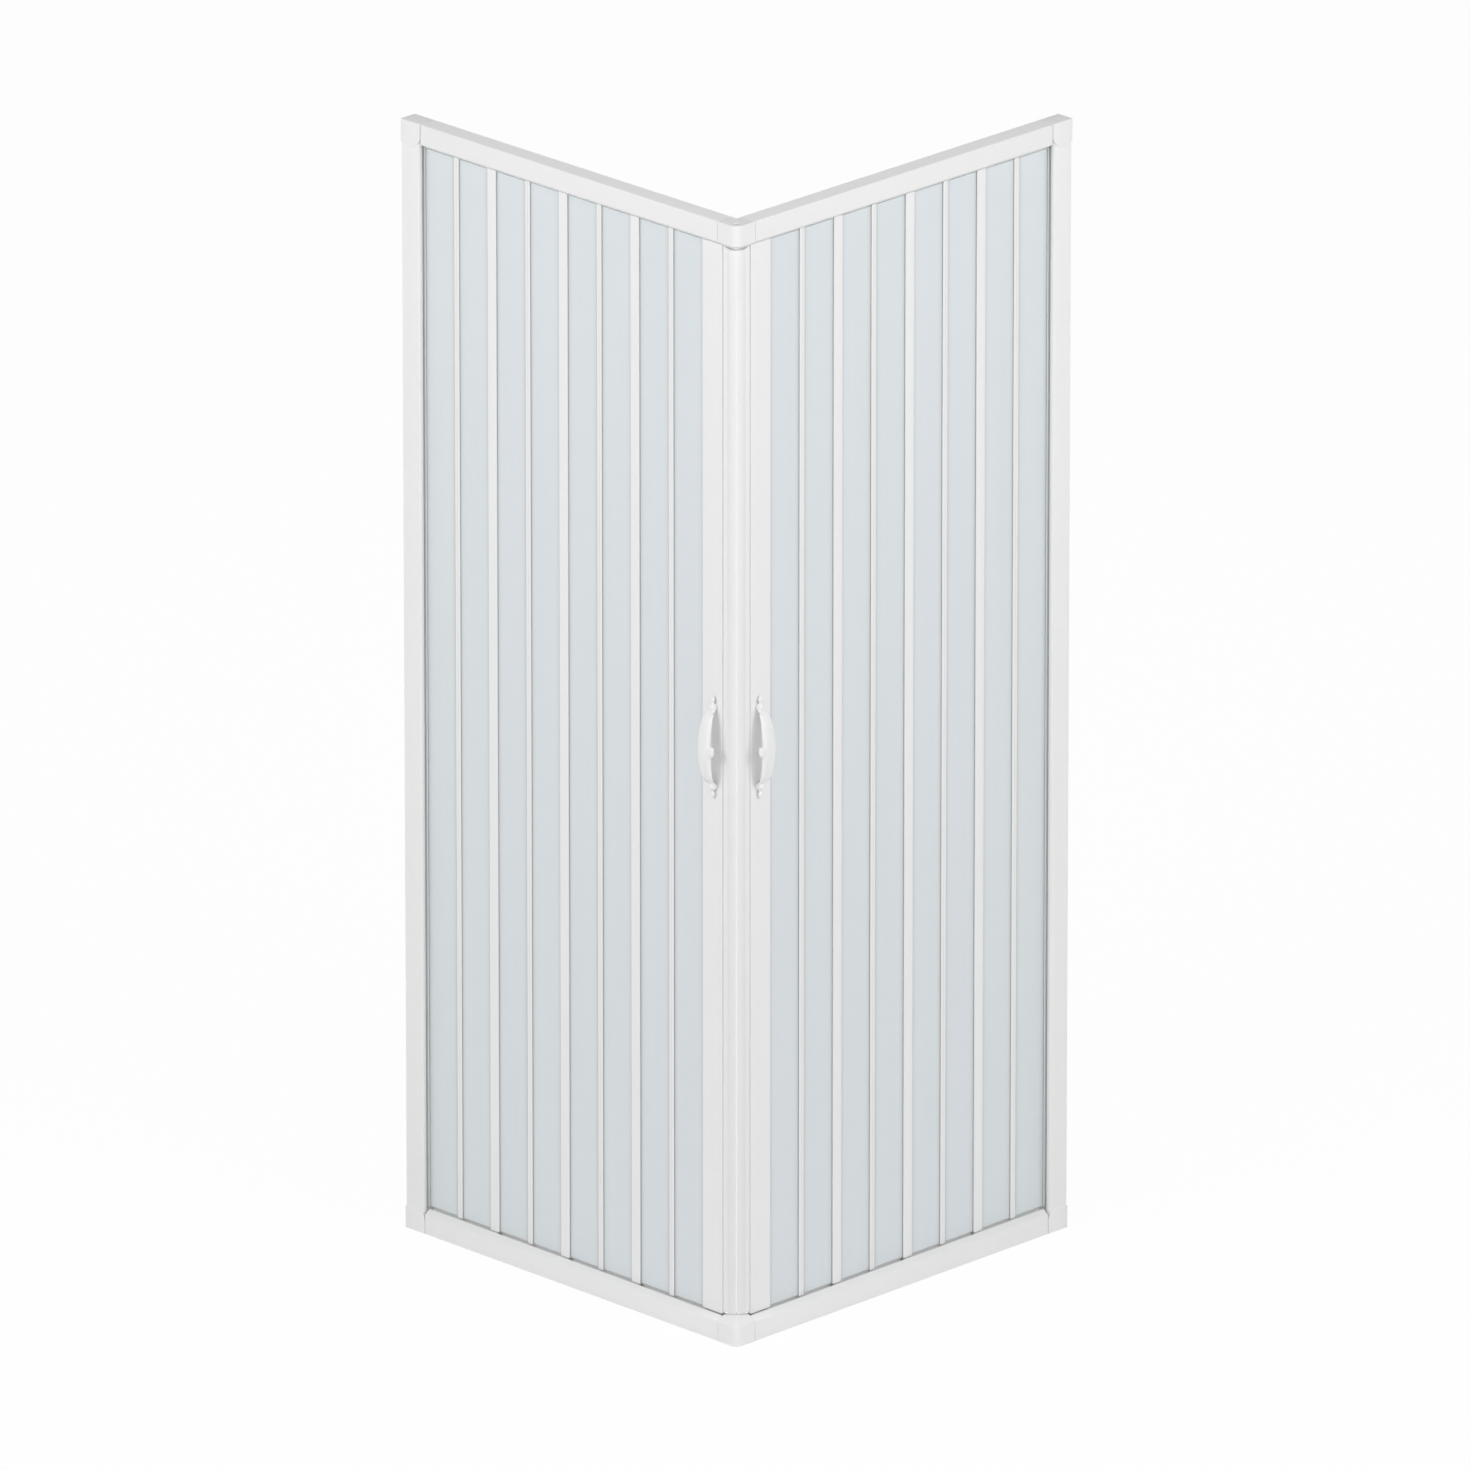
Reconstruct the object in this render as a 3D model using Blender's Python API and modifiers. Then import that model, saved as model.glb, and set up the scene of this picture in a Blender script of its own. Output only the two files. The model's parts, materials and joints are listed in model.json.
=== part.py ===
"""Corner shower enclosure with two folding doors, built from extruded plastic profiles.

Two wings stand at right angles on a square tray. Each wing is a frame of a bottom rail, a top
rail and a wall post, closed by a folding door. A door is a chain of eight thin slats. Beads along
their edges turn in the sockets of wide strips, which stay on the rail line. Narrow strips fold into
the shower along a soft line in the middle of their outer face. Each is modelled as two rigid
halves: the one on the wall's side holds the bead of its slat, and the other is one solid with the
next slat. The last slat carries the leading profile with its guide shoes, handle, closing seal and
magnet.

All places on a wing are given as (t, v, z). t runs along the wing from the outer corner to the
wall, v runs from the outer face into the shower, and z is the height above the tray.
The right wing lies along +X and the left wing, its mirror image, along +Y. The origin is the middle
of the enclosure's base, the handles included.
"""
import math

import bmesh
import bpy
from mathutils import Matrix, Vector

OBJECT_NAME = "shower_enclosure"

# Overall sizes
WING_LENGTH = 0.740
HEIGHT = 1.850

# General clearances
SEAT_GAP = 0.0003
OVERRUN = 0.002
WELD_DISTANCE = 0.000001

# Rails
RAIL_DEPTH = 0.031
RAIL_FACE_HEIGHT = 0.033
RAIL_RIDGE_HEIGHT = 0.041
GROOVE_WIDTH = 0.009
GROOVE_FLOOR = 0.008
RAIL_WALL = 0.002
RAIL_EDGE_RADIUS = 0.001

# Corner and wall joints, which stand a little proud of the rails
JOINT_DEPTH = 0.032
JOINT_PROUD = 0.0005
CORNER_LEG_LENGTH = 0.041
CORNER_RADIUS = 0.013
JOINT_EDGE_RADIUS = 0.0010
SEAT_RISE = 0.0050
SEAT_TOP_WIDTH = 0.005
WALL_JOINT_LENGTH = 0.043
ARCH_RADIUS = 0.027
ARCH_CENTRE_FROM_WALL = 0.0175
ARCH_CENTRE_HEIGHT = 0.016
POST_POCKET_FLOOR = 0.012
TONGUE_LENGTH = 0.012
TONGUE_HEIGHT = 0.024
CAP_SCREW_RADIUS = 0.006
CAP_SCREW_DEPTH = 0.002
CAP_SCREW_FROM_CORNER = 0.0115

# Wall posts
POST_LENGTH = 0.0405
POST_DEPTH = 0.029
POST_FLANGE_THICKNESS = 0.0065
POST_REBATE_LENGTH = 0.0145
POST_INNER_RADIUS = 0.005
POST_WALL_RADIUS = 0.003
POST_WALL = 0.002

# Hinge beads and sockets, shared by slats, strips, wall hinges and leading profiles
BEAD_RADIUS = 0.0018
BEAD_CLEARANCE = 0.0003
SOCKET_WALL = 0.0008
NECK_HALF_THICKNESS = 0.0007
FOLD_ANGLE = 85.0
NECK_FREE_ANGLE = 27.0

# Slats
SLAT_THICKNESS = 0.0026
SLAT_NECK_LENGTH = 0.0038
SLAT_TAPER_LENGTH = 0.0006
SLAT_END_CLEARANCE = 0.0050
SLAT_COUNT = 8

# Hinge strips
NARROW_SPACING = 0.0056
WIDE_SPACING = 0.0140
STRIP_FACE_OVERHANG = 0.0025
STRIP_FACE_DEPTH = 0.0032
STRIP_BACK_DEPTH = 0.0024
NARROW_FACE_WALL = 0.0005
NARROW_SPLIT_GAP = 0.0003
DOOR_RAIL_GAP = 0.0010

# Wall hinge strips
WALL_HINGE_CLEARANCE = 0.0003
WALL_TONGUE_LENGTH = 0.0060
WALL_TONGUE_THICKNESS = 0.0030

# Leading profiles
LEADING_FACE_LENGTH = 0.0435
LEADING_THICKNESS = 0.0128
LEADING_WALL = 0.0020
LEADING_EDGE_RADIUS = 0.0020
LEADING_NECK_LENGTH = 0.0105
LEADING_NECK_STEP = 0.0025
LEADING_SOCKET_LENGTH = 0.0050

# Closing seals and magnets
SEAL_RADIUS = 0.0186
SEAL_FLANK_LENGTH = 0.0022
SEAL_MEETING_GAP = 0.0008
SEAL_TONGUE_LENGTH = 0.0059
SEAL_TONGUE_THICKNESS = 0.0040
SEAL_SEAT_GAP = 0.0003
MAGNET_WIDTH = 0.0070
MAGNET_THICKNESS = 0.0025
MAGNET_SKIN = 0.0010
MAGNET_END_DISTANCE = 0.0100

# Guide shoes
SHOE_SIDE_CLEARANCE = 0.0004
SHOE_FLOOR_GAP = 0.0060
SHOE_RIDGE_DROP = 0.0015
LEADING_SHOE_LENGTH = 0.0280
LEADING_PLUG_LENGTH = 0.0220
LEADING_PLUG_THICKNESS = 0.0045
LEADING_PLUG_HEIGHT = 0.0200

# Handles
HANDLE_HEIGHT = 0.982
HANDLE_AXIS_FROM_EDGE = 0.0270
BOW_HALF_LENGTH = 0.0610
BOW_FOOT_REACH = 0.0050
BOW_REACH = 0.0240
BOW_FOOT_WIDTH = 0.0110
BOW_WIDTH = 0.0240
BOW_FOOT_THICKNESS = 0.0065
BOW_THICKNESS = 0.0110
FOOT_RADIUS = 0.0066
FOOT_FROM_BOW_END = 0.0030
FINIAL_NECK_RADIUS = 0.0022
FINIAL_BALL_RADIUS = 0.0042
FINIAL_BALL_FROM_FOOT = 0.0125
FINIAL_BALL_END = 55.0
FINIAL_TIP_LENGTH = 0.0110
FINIAL_TIP_RADIUS = 0.0007
THUMB_REST_WIDTH = 0.0220
THUMB_REST_DROP = 0.0140
THUMB_REST_LIP = 0.0055
THUMB_REST_THICKNESS = 0.0090
THUMB_REST_SHIFT = 0.0095

# How finely round forms are divided
BEAD_STEPS = 10
SOCKET_STEPS = 9
TIP_STEPS = 3
CORNER_STEPS = 5
SEAL_STEPS = 7
ARCH_STEPS = 14
SHOE_STEPS = 6
BOW_SECTIONS = 15
BOW_SIDES = 16
BALL_SEGMENTS = 14
BALL_RINGS = 8
SCREW_SEGMENTS = 20
BEVEL_SEGMENTS = 2
BEVEL_ANGLE = 45.0
FLAT_ANGLE = 1.0

# Derived places shared by several pieces
MIDDLE = JOINT_DEPTH / 2
SOCKET_INNER = BEAD_RADIUS + BEAD_CLEARANCE
SOCKET_OUTER = SOCKET_INNER + SOCKET_WALL
NARROW_FACE_DEPTH = SOCKET_INNER + NARROW_FACE_WALL
RAIL_START = CORNER_LEG_LENGTH + SEAT_GAP
RAIL_END = WING_LENGTH - WALL_JOINT_LENGTH - SEAT_GAP
POST_START = WING_LENGTH - POST_LENGTH
POST_BODY_START = POST_START + POST_REBATE_LENGTH
WALL_HINGE_AXIS = POST_START - STRIP_FACE_OVERHANG + 2 * SOCKET_INNER + WALL_HINGE_CLEARANCE
DOOR_BOTTOM = RAIL_RIDGE_HEIGHT + JOINT_PROUD + DOOR_RAIL_GAP
SLAT_BOTTOM = DOOR_BOTTOM + SLAT_END_CLEARANCE - DOOR_RAIL_GAP
FACE_V = MIDDLE - STRIP_FACE_DEPTH
SEAT_HEIGHT = RAIL_RIDGE_HEIGHT + JOINT_PROUD + SEAT_RISE
LEADING_START = FACE_V + SEAL_RADIUS + SEAL_FLANK_LENGTH
LEADING_FACE_START = LEADING_START + LEADING_NECK_LENGTH
LEADING_EDGE = LEADING_FACE_START + LEADING_FACE_LENGTH
LEADING_AXIS = LEADING_EDGE - STRIP_FACE_OVERHANG
NARROW_COUNT = SLAT_COUNT // 2
WIDE_COUNT = (SLAT_COUNT - 1) // 2
STRIPS_LENGTH = NARROW_COUNT * NARROW_SPACING + WIDE_COUNT * WIDE_SPACING
SLAT_PITCH = (WALL_HINGE_AXIS - LEADING_AXIS - STRIPS_LENGTH) / SLAT_COUNT
LEADING_BACK = FACE_V + LEADING_THICKNESS
SEAL_BOTTOM = SEAT_HEIGHT + SEAL_SEAT_GAP
FRONT_REACH = BOW_REACH + BOW_THICKNESS / 2 - FACE_V
CENTRE = (WING_LENGTH - FRONT_REACH) / 2

WHITE = (0.86, 0.86, 0.85, 1.0)
SOFT_WHITE = (0.88, 0.88, 0.87, 1.0)
FROSTED = (0.66, 0.71, 0.74, 1.0)
GREY = (0.55, 0.56, 0.57, 1.0)
DARK = (0.09, 0.09, 0.10, 1.0)


def clear_scene():
    """Remove whatever the scene holds."""
    for item in list(bpy.data.objects):
        bpy.data.objects.remove(item, do_unlink=True)


def new_collection(name):
    """Make a collection under the scene."""
    collection = bpy.data.collections.new(name)
    bpy.context.scene.collection.children.link(collection)
    return collection


def make_material(name, colour, roughness, metallic=0.0):
    """A plain surface with one colour, roughness and metallic value."""
    material = bpy.data.materials.new(name)
    material.use_nodes = True
    surface = material.node_tree.nodes["Principled BSDF"]
    surface.inputs["Base Color"].default_value = colour
    surface.inputs["Roughness"].default_value = roughness
    surface.inputs["Metallic"].default_value = metallic
    material.diffuse_color = colour
    return material


def arc(centre, radius, start, end, steps):
    """Points on a circle from one angle to another, in degrees, both ends included."""
    points = []
    for step in range(steps + 1):
        angle = math.radians(start + (end - start) * step / steps)
        points.append((centre[0] + radius * math.cos(angle), centre[1] + radius * math.sin(angle)))
    return points


def rectangle(x_low, x_high, y_low, y_high):
    """The four corners of a rectangle."""
    return [(x_low, y_low), (x_high, y_low), (x_high, y_high), (x_low, y_high)]


def tidy(mesh):
    """Weld loose caps and turn every face outwards."""
    work = bmesh.new()
    work.from_mesh(mesh)
    bmesh.ops.remove_doubles(work, verts=work.verts, dist=WELD_DISTANCE)
    bmesh.ops.recalc_face_normals(work, faces=work.faces)
    work.to_mesh(mesh)
    work.free()
    return mesh


def prism(loops, length):
    """Extrude closed outlines in the XY plane along Z, centred on the plane."""
    curve = bpy.data.curves.new("outline", "CURVE")
    curve.dimensions = "2D"
    curve.fill_mode = "BOTH"
    curve.extrude = length / 2
    for loop in loops:
        spline = curve.splines.new("POLY")
        spline.points.add(len(loop) - 1)
        for point, (x, y) in zip(spline.points, loop):
            point.co = (x, y, 0.0, 1.0)
        spline.use_cyclic_u = True
    guide = bpy.data.objects.new("outline", curve)
    bpy.context.scene.collection.objects.link(guide)
    graph = bpy.context.evaluated_depsgraph_get()
    mesh = bpy.data.meshes.new_from_object(guide.evaluated_get(graph))
    bpy.data.objects.remove(guide, do_unlink=True)
    bpy.data.curves.remove(curve)
    return tidy(mesh)


def upright(loops, low, high):
    """A vertical profile: outlines in (t, v), from one height to another."""
    mesh = prism(loops, high - low)
    mesh.transform(Matrix.Translation((0.0, 0.0, (low + high) / 2)))
    return mesh


def along_wing(loops, start, end):
    """A rail: outlines in (v, z), from one place along the wing to another."""
    mesh = prism(loops, end - start)
    turn = Matrix(((0, 0, 1, 0), (1, 0, 0, 0), (0, 1, 0, 0), (0, 0, 0, 1)))
    mesh.transform(Matrix.Translation(((start + end) / 2, 0.0, 0.0)) @ turn)
    return mesh


def across_wing(loops, low, high):
    """A side profile: outlines in (t, z), from one depth v to another."""
    mesh = prism(loops, high - low)
    mesh.transform(Matrix.Rotation(math.radians(90.0), 4, "X"))
    mesh.transform(Matrix.Translation((0.0, (low + high) / 2, 0.0)))
    return mesh


def box(low, high):
    """A block between two corners in (t, v, z)."""
    work = bmesh.new()
    bmesh.ops.create_cube(work, size=1.0)
    size = [b - a for a, b in zip(low, high)]
    bmesh.ops.scale(work, vec=size, verts=work.verts)
    bmesh.ops.translate(work, vec=[(a + b) / 2 for a, b in zip(low, high)], verts=work.verts)
    mesh = bpy.data.meshes.new("box")
    work.to_mesh(mesh)
    work.free()
    return mesh


def combine(base, tools, operation):
    """Join or cut a mesh with others, one after another."""
    target = bpy.data.objects.new("target", base)
    bpy.context.scene.collection.objects.link(target)
    helpers = []
    for tool in tools:
        helper = bpy.data.objects.new("helper", tool)
        bpy.context.scene.collection.objects.link(helper)
        modifier = target.modifiers.new(operation.lower(), "BOOLEAN")
        modifier.operation = operation
        modifier.solver = "EXACT"
        modifier.object = helper
        helpers.append(helper)
    graph = bpy.context.evaluated_depsgraph_get()
    mesh = bpy.data.meshes.new_from_object(target.evaluated_get(graph))
    for item in [target] + helpers:
        bpy.data.objects.remove(item, do_unlink=True)
    return tidy(mesh)


def upside_down(mesh):
    """The same piece at the other end of the enclosure's height."""
    flipped = mesh.copy()
    flipped.transform(Matrix.Translation((0.0, 0.0, HEIGHT)) @ Matrix.Scale(-1.0, 4, (0, 0, 1)))
    flipped.flip_normals()
    return flipped


def world_place(place, wing):
    """World position of a place (t, v, z) on one wing."""
    t, v, z = place
    if wing == "left":
        return Vector((v - CENTRE, t - CENTRE, z))
    return Vector((t - CENTRE, v - CENTRE, z))


def add_piece(kit, name, mesh, material, wing="right", origin=(0.0, 0.0, 0.0), parent=None):
    """Put a piece, modelled in (t, v, z), on its wing, with its origin at the given place."""
    shape = mesh.copy()
    shape.name = name
    shape.transform(Matrix.Translation([-value for value in origin]))
    if wing == "left":
        swap = Matrix(((0, 1, 0, 0), (1, 0, 0, 0), (0, 0, 1, 0), (0, 0, 0, 1)))
        shape.transform(swap)
        shape.flip_normals()
    shape.shade_smooth()
    shape.set_sharp_from_angle(angle=math.radians(30.0))
    shape.materials.clear()
    shape.materials.append(material)
    piece = bpy.data.objects.new(name, shape)
    kit["parts"].objects.link(piece)
    piece.location = world_place(origin, wing)
    if parent is not None:
        piece.parent = parent
        piece.location = world_place(origin, wing) - kit["places"][parent.name]
    kit["places"][name] = world_place(origin, wing)
    return piece


def rail_outlines():
    """Section of a rail in (v, z): two chambers, a groove between them and one under it."""
    low = MIDDLE - RAIL_DEPTH / 2
    high = MIDDLE + RAIL_DEPTH / 2
    groove_low = MIDDLE - GROOVE_WIDTH / 2
    groove_high = MIDDLE + GROOVE_WIDTH / 2
    edge = RAIL_EDGE_RADIUS
    slope = (RAIL_RIDGE_HEIGHT - RAIL_FACE_HEIGHT) / (groove_low - low)
    lean = 90.0 - math.degrees(math.atan(slope))
    outer = arc((low + edge, edge), edge, 270.0, 180.0, TIP_STEPS)
    outer += arc((low + edge, RAIL_FACE_HEIGHT - edge), edge, 180.0, 180.0 - lean, TIP_STEPS)
    outer += [(groove_low - edge, RAIL_RIDGE_HEIGHT), (groove_low, RAIL_RIDGE_HEIGHT - edge)]
    outer += [(groove_low, GROOVE_FLOOR), (groove_high, GROOVE_FLOOR)]
    outer += [(groove_high, RAIL_RIDGE_HEIGHT - edge), (groove_high + edge, RAIL_RIDGE_HEIGHT)]
    outer += arc((high - edge, RAIL_FACE_HEIGHT - edge), edge, lean, 0.0, TIP_STEPS)
    outer += arc((high - edge, edge), edge, 0.0, -90.0, TIP_STEPS)
    inner_top = RAIL_FACE_HEIGHT - RAIL_WALL
    ridge_top = inner_top + slope * (groove_low - low - 2 * RAIL_WALL)
    front = [(low + RAIL_WALL, RAIL_WALL), (groove_low - RAIL_WALL, RAIL_WALL),
             (groove_low - RAIL_WALL, ridge_top), (low + RAIL_WALL, inner_top)]
    back = [(2 * MIDDLE - v, z) for v, z in front]
    under = rectangle(groove_low, groove_high, RAIL_WALL, GROOVE_FLOOR - RAIL_WALL)
    return [outer, front, back, under]


def rail_tongues(start, end):
    """Blocks of a joint that reach into the two chambers of a rail."""
    low = MIDDLE - RAIL_DEPTH / 2 + RAIL_WALL + SEAT_GAP
    high = MIDDLE - GROOVE_WIDTH / 2 - RAIL_WALL - SEAT_GAP
    bottom = RAIL_WALL + SEAT_GAP
    front = box((start, low, bottom), (end, high, bottom + TONGUE_HEIGHT))
    back = box((start, 2 * MIDDLE - high, bottom), (end, 2 * MIDDLE - low, bottom + TONGUE_HEIGHT))
    return [front, back]


def swapped(mesh):
    """The same shape on the other leg of the corner."""
    other = mesh.copy()
    other.transform(Matrix(((0, 1, 0, 0), (1, 0, 0, 0), (0, 0, 1, 0), (0, 0, 0, 1))))
    other.flip_normals()
    return other


def corner_block():
    """The L-shaped block of a corner joint.

    Its shoulders slope like the rails' and rise to a flat seat for the closing seals. From there it
    ramps down along both legs to the rails' ridge height. That form is the hull of its corners.
    """
    face = RAIL_FACE_HEIGHT + JOINT_PROUD
    ridge = RAIL_RIDGE_HEIGHT + JOINT_PROUD
    shoulder = (JOINT_DEPTH - GROOVE_WIDTH) / 2
    start = shoulder * (SEAT_HEIGHT - face) / (ridge - face)
    seat = rectangle(start, start + SEAT_TOP_WIDTH, start, start + SEAT_TOP_WIDTH)
    leg = CORNER_LEG_LENGTH
    ends = [(leg, 0.0, 0.0), (leg, 0.0, face), (leg, shoulder, ridge)]
    ends += [(leg, JOINT_DEPTH - shoulder, ridge), (leg, JOINT_DEPTH, face)]
    ends += [(leg, JOINT_DEPTH, 0.0)]
    rounding = arc((CORNER_RADIUS, CORNER_RADIUS), CORNER_RADIUS, 180.0, 270.0, CORNER_STEPS)
    work = bmesh.new()
    for t, v in rounding:
        work.verts.new((t, v, 0.0))
        work.verts.new((t, v, face))
    for t, v in seat:
        work.verts.new((t, v, SEAT_HEIGHT))
    for t, v, z in ends:
        work.verts.new((t, v, z))
        work.verts.new((v, t, z))
    hull = bmesh.ops.convex_hull(work, input=work.verts)
    unused = [item for item in hull["geom_interior"] if isinstance(item, bmesh.types.BMVert)]
    bmesh.ops.delete(work, geom=unused, context="VERTS")
    bmesh.ops.dissolve_limit(work, angle_limit=math.radians(FLAT_ANGLE), verts=work.verts,
                             edges=work.edges)
    mesh = bpy.data.meshes.new("corner")
    work.to_mesh(mesh)
    work.free()
    inside = box((JOINT_DEPTH, JOINT_DEPTH, -OVERRUN), (2 * leg, 2 * leg, SEAT_HEIGHT + OVERRUN))
    return combine(bevelled(mesh, JOINT_EDGE_RADIUS), [inside], "DIFFERENCE")


def bevelled(mesh, radius):
    """A mesh with its sharp edges rounded."""
    target = bpy.data.objects.new("target", mesh)
    bpy.context.scene.collection.objects.link(target)
    bevel = target.modifiers.new("edges", "BEVEL")
    bevel.width = radius
    bevel.segments = BEVEL_SEGMENTS
    bevel.limit_method = "ANGLE"
    bevel.angle_limit = math.radians(BEVEL_ANGLE)
    graph = bpy.context.evaluated_depsgraph_get()
    rounded = bpy.data.meshes.new_from_object(target.evaluated_get(graph))
    bpy.data.objects.remove(target, do_unlink=True)
    return tidy(rounded)


def screw_recess():
    """A cylinder that sinks the screw cap into the joint's flat end."""
    work = bmesh.new()
    bmesh.ops.create_cone(work, cap_ends=True, segments=SCREW_SEGMENTS, radius1=CAP_SCREW_RADIUS,
                          radius2=CAP_SCREW_RADIUS, depth=2 * CAP_SCREW_DEPTH)
    place = (CAP_SCREW_FROM_CORNER, CAP_SCREW_FROM_CORNER, 0.0)
    bmesh.ops.translate(work, vec=place, verts=work.verts)
    mesh = bpy.data.meshes.new("recess")
    work.to_mesh(mesh)
    work.free()
    return mesh


def corner_joint_mesh():
    """Moulded corner joint with its seat, screw recess and the tongues that hold both rails."""
    tongues = rail_tongues(CORNER_LEG_LENGTH - OVERRUN, CORNER_LEG_LENGTH + TONGUE_LENGTH)
    tongues += [swapped(tongue) for tongue in tongues]
    mesh = combine(corner_block(), tongues, "UNION")
    return combine(mesh, [screw_recess()], "DIFFERENCE")


def wall_joint_mesh():
    """Moulded wall joint: an arched sleeve for the post with tongues for the rail."""
    start = WING_LENGTH - WALL_JOINT_LENGTH
    centre = (WING_LENGTH - ARCH_CENTRE_FROM_WALL, ARCH_CENTRE_HEIGHT)
    first = math.degrees(math.acos((WING_LENGTH - centre[0]) / ARCH_RADIUS))
    last = math.degrees(math.acos((start - centre[0]) / ARCH_RADIUS))
    side = [(start, 0.0), (WING_LENGTH, 0.0)] + arc(centre, ARCH_RADIUS, first, last, ARCH_STEPS)
    block = bevelled(across_wing([side], 0.0, JOINT_DEPTH), JOINT_EDGE_RADIUS)
    tongues = rail_tongues(start - TONGUE_LENGTH, start + OVERRUN)
    pocket_low = MIDDLE - POST_DEPTH / 2 - SEAT_GAP
    pocket_high = MIDDLE + POST_DEPTH / 2 + SEAT_GAP
    flange_back = MIDDLE - POST_DEPTH / 2 + POST_FLANGE_THICKNESS + SEAT_GAP
    pocket_start = POST_START - SEAT_GAP
    body_start = POST_BODY_START - SEAT_GAP
    pocket = [(pocket_start, pocket_low), (WING_LENGTH + OVERRUN, pocket_low),
              (WING_LENGTH + OVERRUN, pocket_high), (body_start, pocket_high),
              (body_start, flange_back), (pocket_start, flange_back)]
    top = ARCH_CENTRE_HEIGHT + ARCH_RADIUS + OVERRUN
    cutter = upright([pocket], POST_POCKET_FLOOR, top)
    return combine(combine(block, tongues, "UNION"), [cutter], "DIFFERENCE")


def post_mesh():
    """Wall post: a hollow body, a front flange and a slot for the wall hinge strip."""
    low = MIDDLE - POST_DEPTH / 2
    high = MIDDLE + POST_DEPTH / 2
    flange_back = low + POST_FLANGE_THICKNESS
    slot_half = WALL_TONGUE_THICKNESS / 2 + SEAT_GAP
    slot_end = POST_BODY_START + WALL_TONGUE_LENGTH + SEAT_GAP
    outer = arc((POST_START + POST_INNER_RADIUS, low + POST_INNER_RADIUS), POST_INNER_RADIUS,
                270, 180, CORNER_STEPS)
    outer += [(POST_START, flange_back), (POST_BODY_START, flange_back)]
    outer += [(POST_BODY_START, MIDDLE - slot_half), (slot_end, MIDDLE - slot_half)]
    outer += [(slot_end, MIDDLE + slot_half), (POST_BODY_START, MIDDLE + slot_half)]
    outer += [(POST_BODY_START, high), (WING_LENGTH, high)]
    outer += arc((WING_LENGTH - POST_WALL_RADIUS, low + POST_WALL_RADIUS), POST_WALL_RADIUS,
                 0, -90, CORNER_STEPS)
    chamber = rectangle(slot_end + POST_WALL, WING_LENGTH - POST_WALL,
                        low + POST_WALL_RADIUS, high - POST_WALL)
    bottom = POST_POCKET_FLOOR + SEAT_GAP
    return upright([outer, chamber], bottom, HEIGHT - bottom)


def socket_back(centre, start):
    """Outer wall of a socket from its back line at STRIP_BACK_DEPTH to the tip at an angle."""
    back = math.degrees(math.asin(STRIP_BACK_DEPTH / SOCKET_OUTER))
    if start > 90.0:
        back = 180.0 - back
    return arc(centre, SOCKET_OUTER, back, start, TIP_STEPS)


def inner_opening():
    """Angles of a socket whose slat leaves towards the wall and folds into the shower."""
    return FOLD_ANGLE + NECK_FREE_ANGLE, 360.0 - NECK_FREE_ANGLE


def face_tip_depth():
    """Depth of the face's edge behind the axis, where the socket's mouth begins."""
    return SOCKET_OUTER * math.sin(math.radians(NECK_FREE_ANGLE))


def wide_strip_outlines():
    """Section of a wide strip in (t, v), with its wall-side axis at the origin."""
    far = (-WIDE_SPACING, 0.0)
    tip, mouth = inner_opening()
    outer = [(STRIP_FACE_OVERHANG, -STRIP_FACE_DEPTH), (STRIP_FACE_OVERHANG, -face_tip_depth())]
    outer += arc((0.0, 0.0), SOCKET_INNER, mouth, tip, SOCKET_STEPS)
    outer += reversed(socket_back((0.0, 0.0), tip))
    outer += socket_back(far, 180.0 - tip)
    outer += arc(far, SOCKET_INNER, 180.0 - tip, 180.0 - mouth, SOCKET_STEPS)
    outer += [(-WIDE_SPACING - STRIP_FACE_OVERHANG, -face_tip_depth())]
    outer += [(-WIDE_SPACING - STRIP_FACE_OVERHANG, -STRIP_FACE_DEPTH)]
    return [outer]


def narrow_half(cavity):
    """Section of a narrow strip's half on the wall's side, with the axis of its bead at (0, 0).

    The cavity is the outline of the socket for the bead. Without it the half is solid.
    """
    split = (NARROW_SPLIT_GAP - NARROW_SPACING) / 2
    outer = [(split, -NARROW_FACE_DEPTH), (STRIP_FACE_OVERHANG, -NARROW_FACE_DEPTH)]
    outer += [(STRIP_FACE_OVERHANG, -face_tip_depth())]
    outer += cavity
    outer += arc((0.0, 0.0), SOCKET_OUTER, NECK_FREE_ANGLE, 90.0, SOCKET_STEPS // 2)
    outer += [(split, SOCKET_OUTER)]
    return outer


def narrow_strip_mesh():
    """The half of a narrow strip that holds the bead of the slat on the wall's side."""
    steps = SOCKET_STEPS + TIP_STEPS
    cavity = arc((0.0, 0.0), SOCKET_INNER, 360.0 - NECK_FREE_ANGLE, NECK_FREE_ANGLE, steps)
    strip = upright([narrow_half(cavity)], DOOR_BOTTOM, HEIGHT - DOOR_BOTTOM)
    strip.transform(Matrix.Translation((0.0, MIDDLE, 0.0)))
    return strip


def edged_slat_mesh(slat):
    """A slat with the other half of a narrow strip along its edge on the wall's side."""
    half = [(-t, v) for t, v in reversed(narrow_half([]))]
    edge = upright([half], DOOR_BOTTOM, HEIGHT - DOOR_BOTTOM)
    edge.transform(Matrix.Translation((0.0, MIDDLE, 0.0)))
    return combine(slat, [edge], "UNION")


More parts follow.
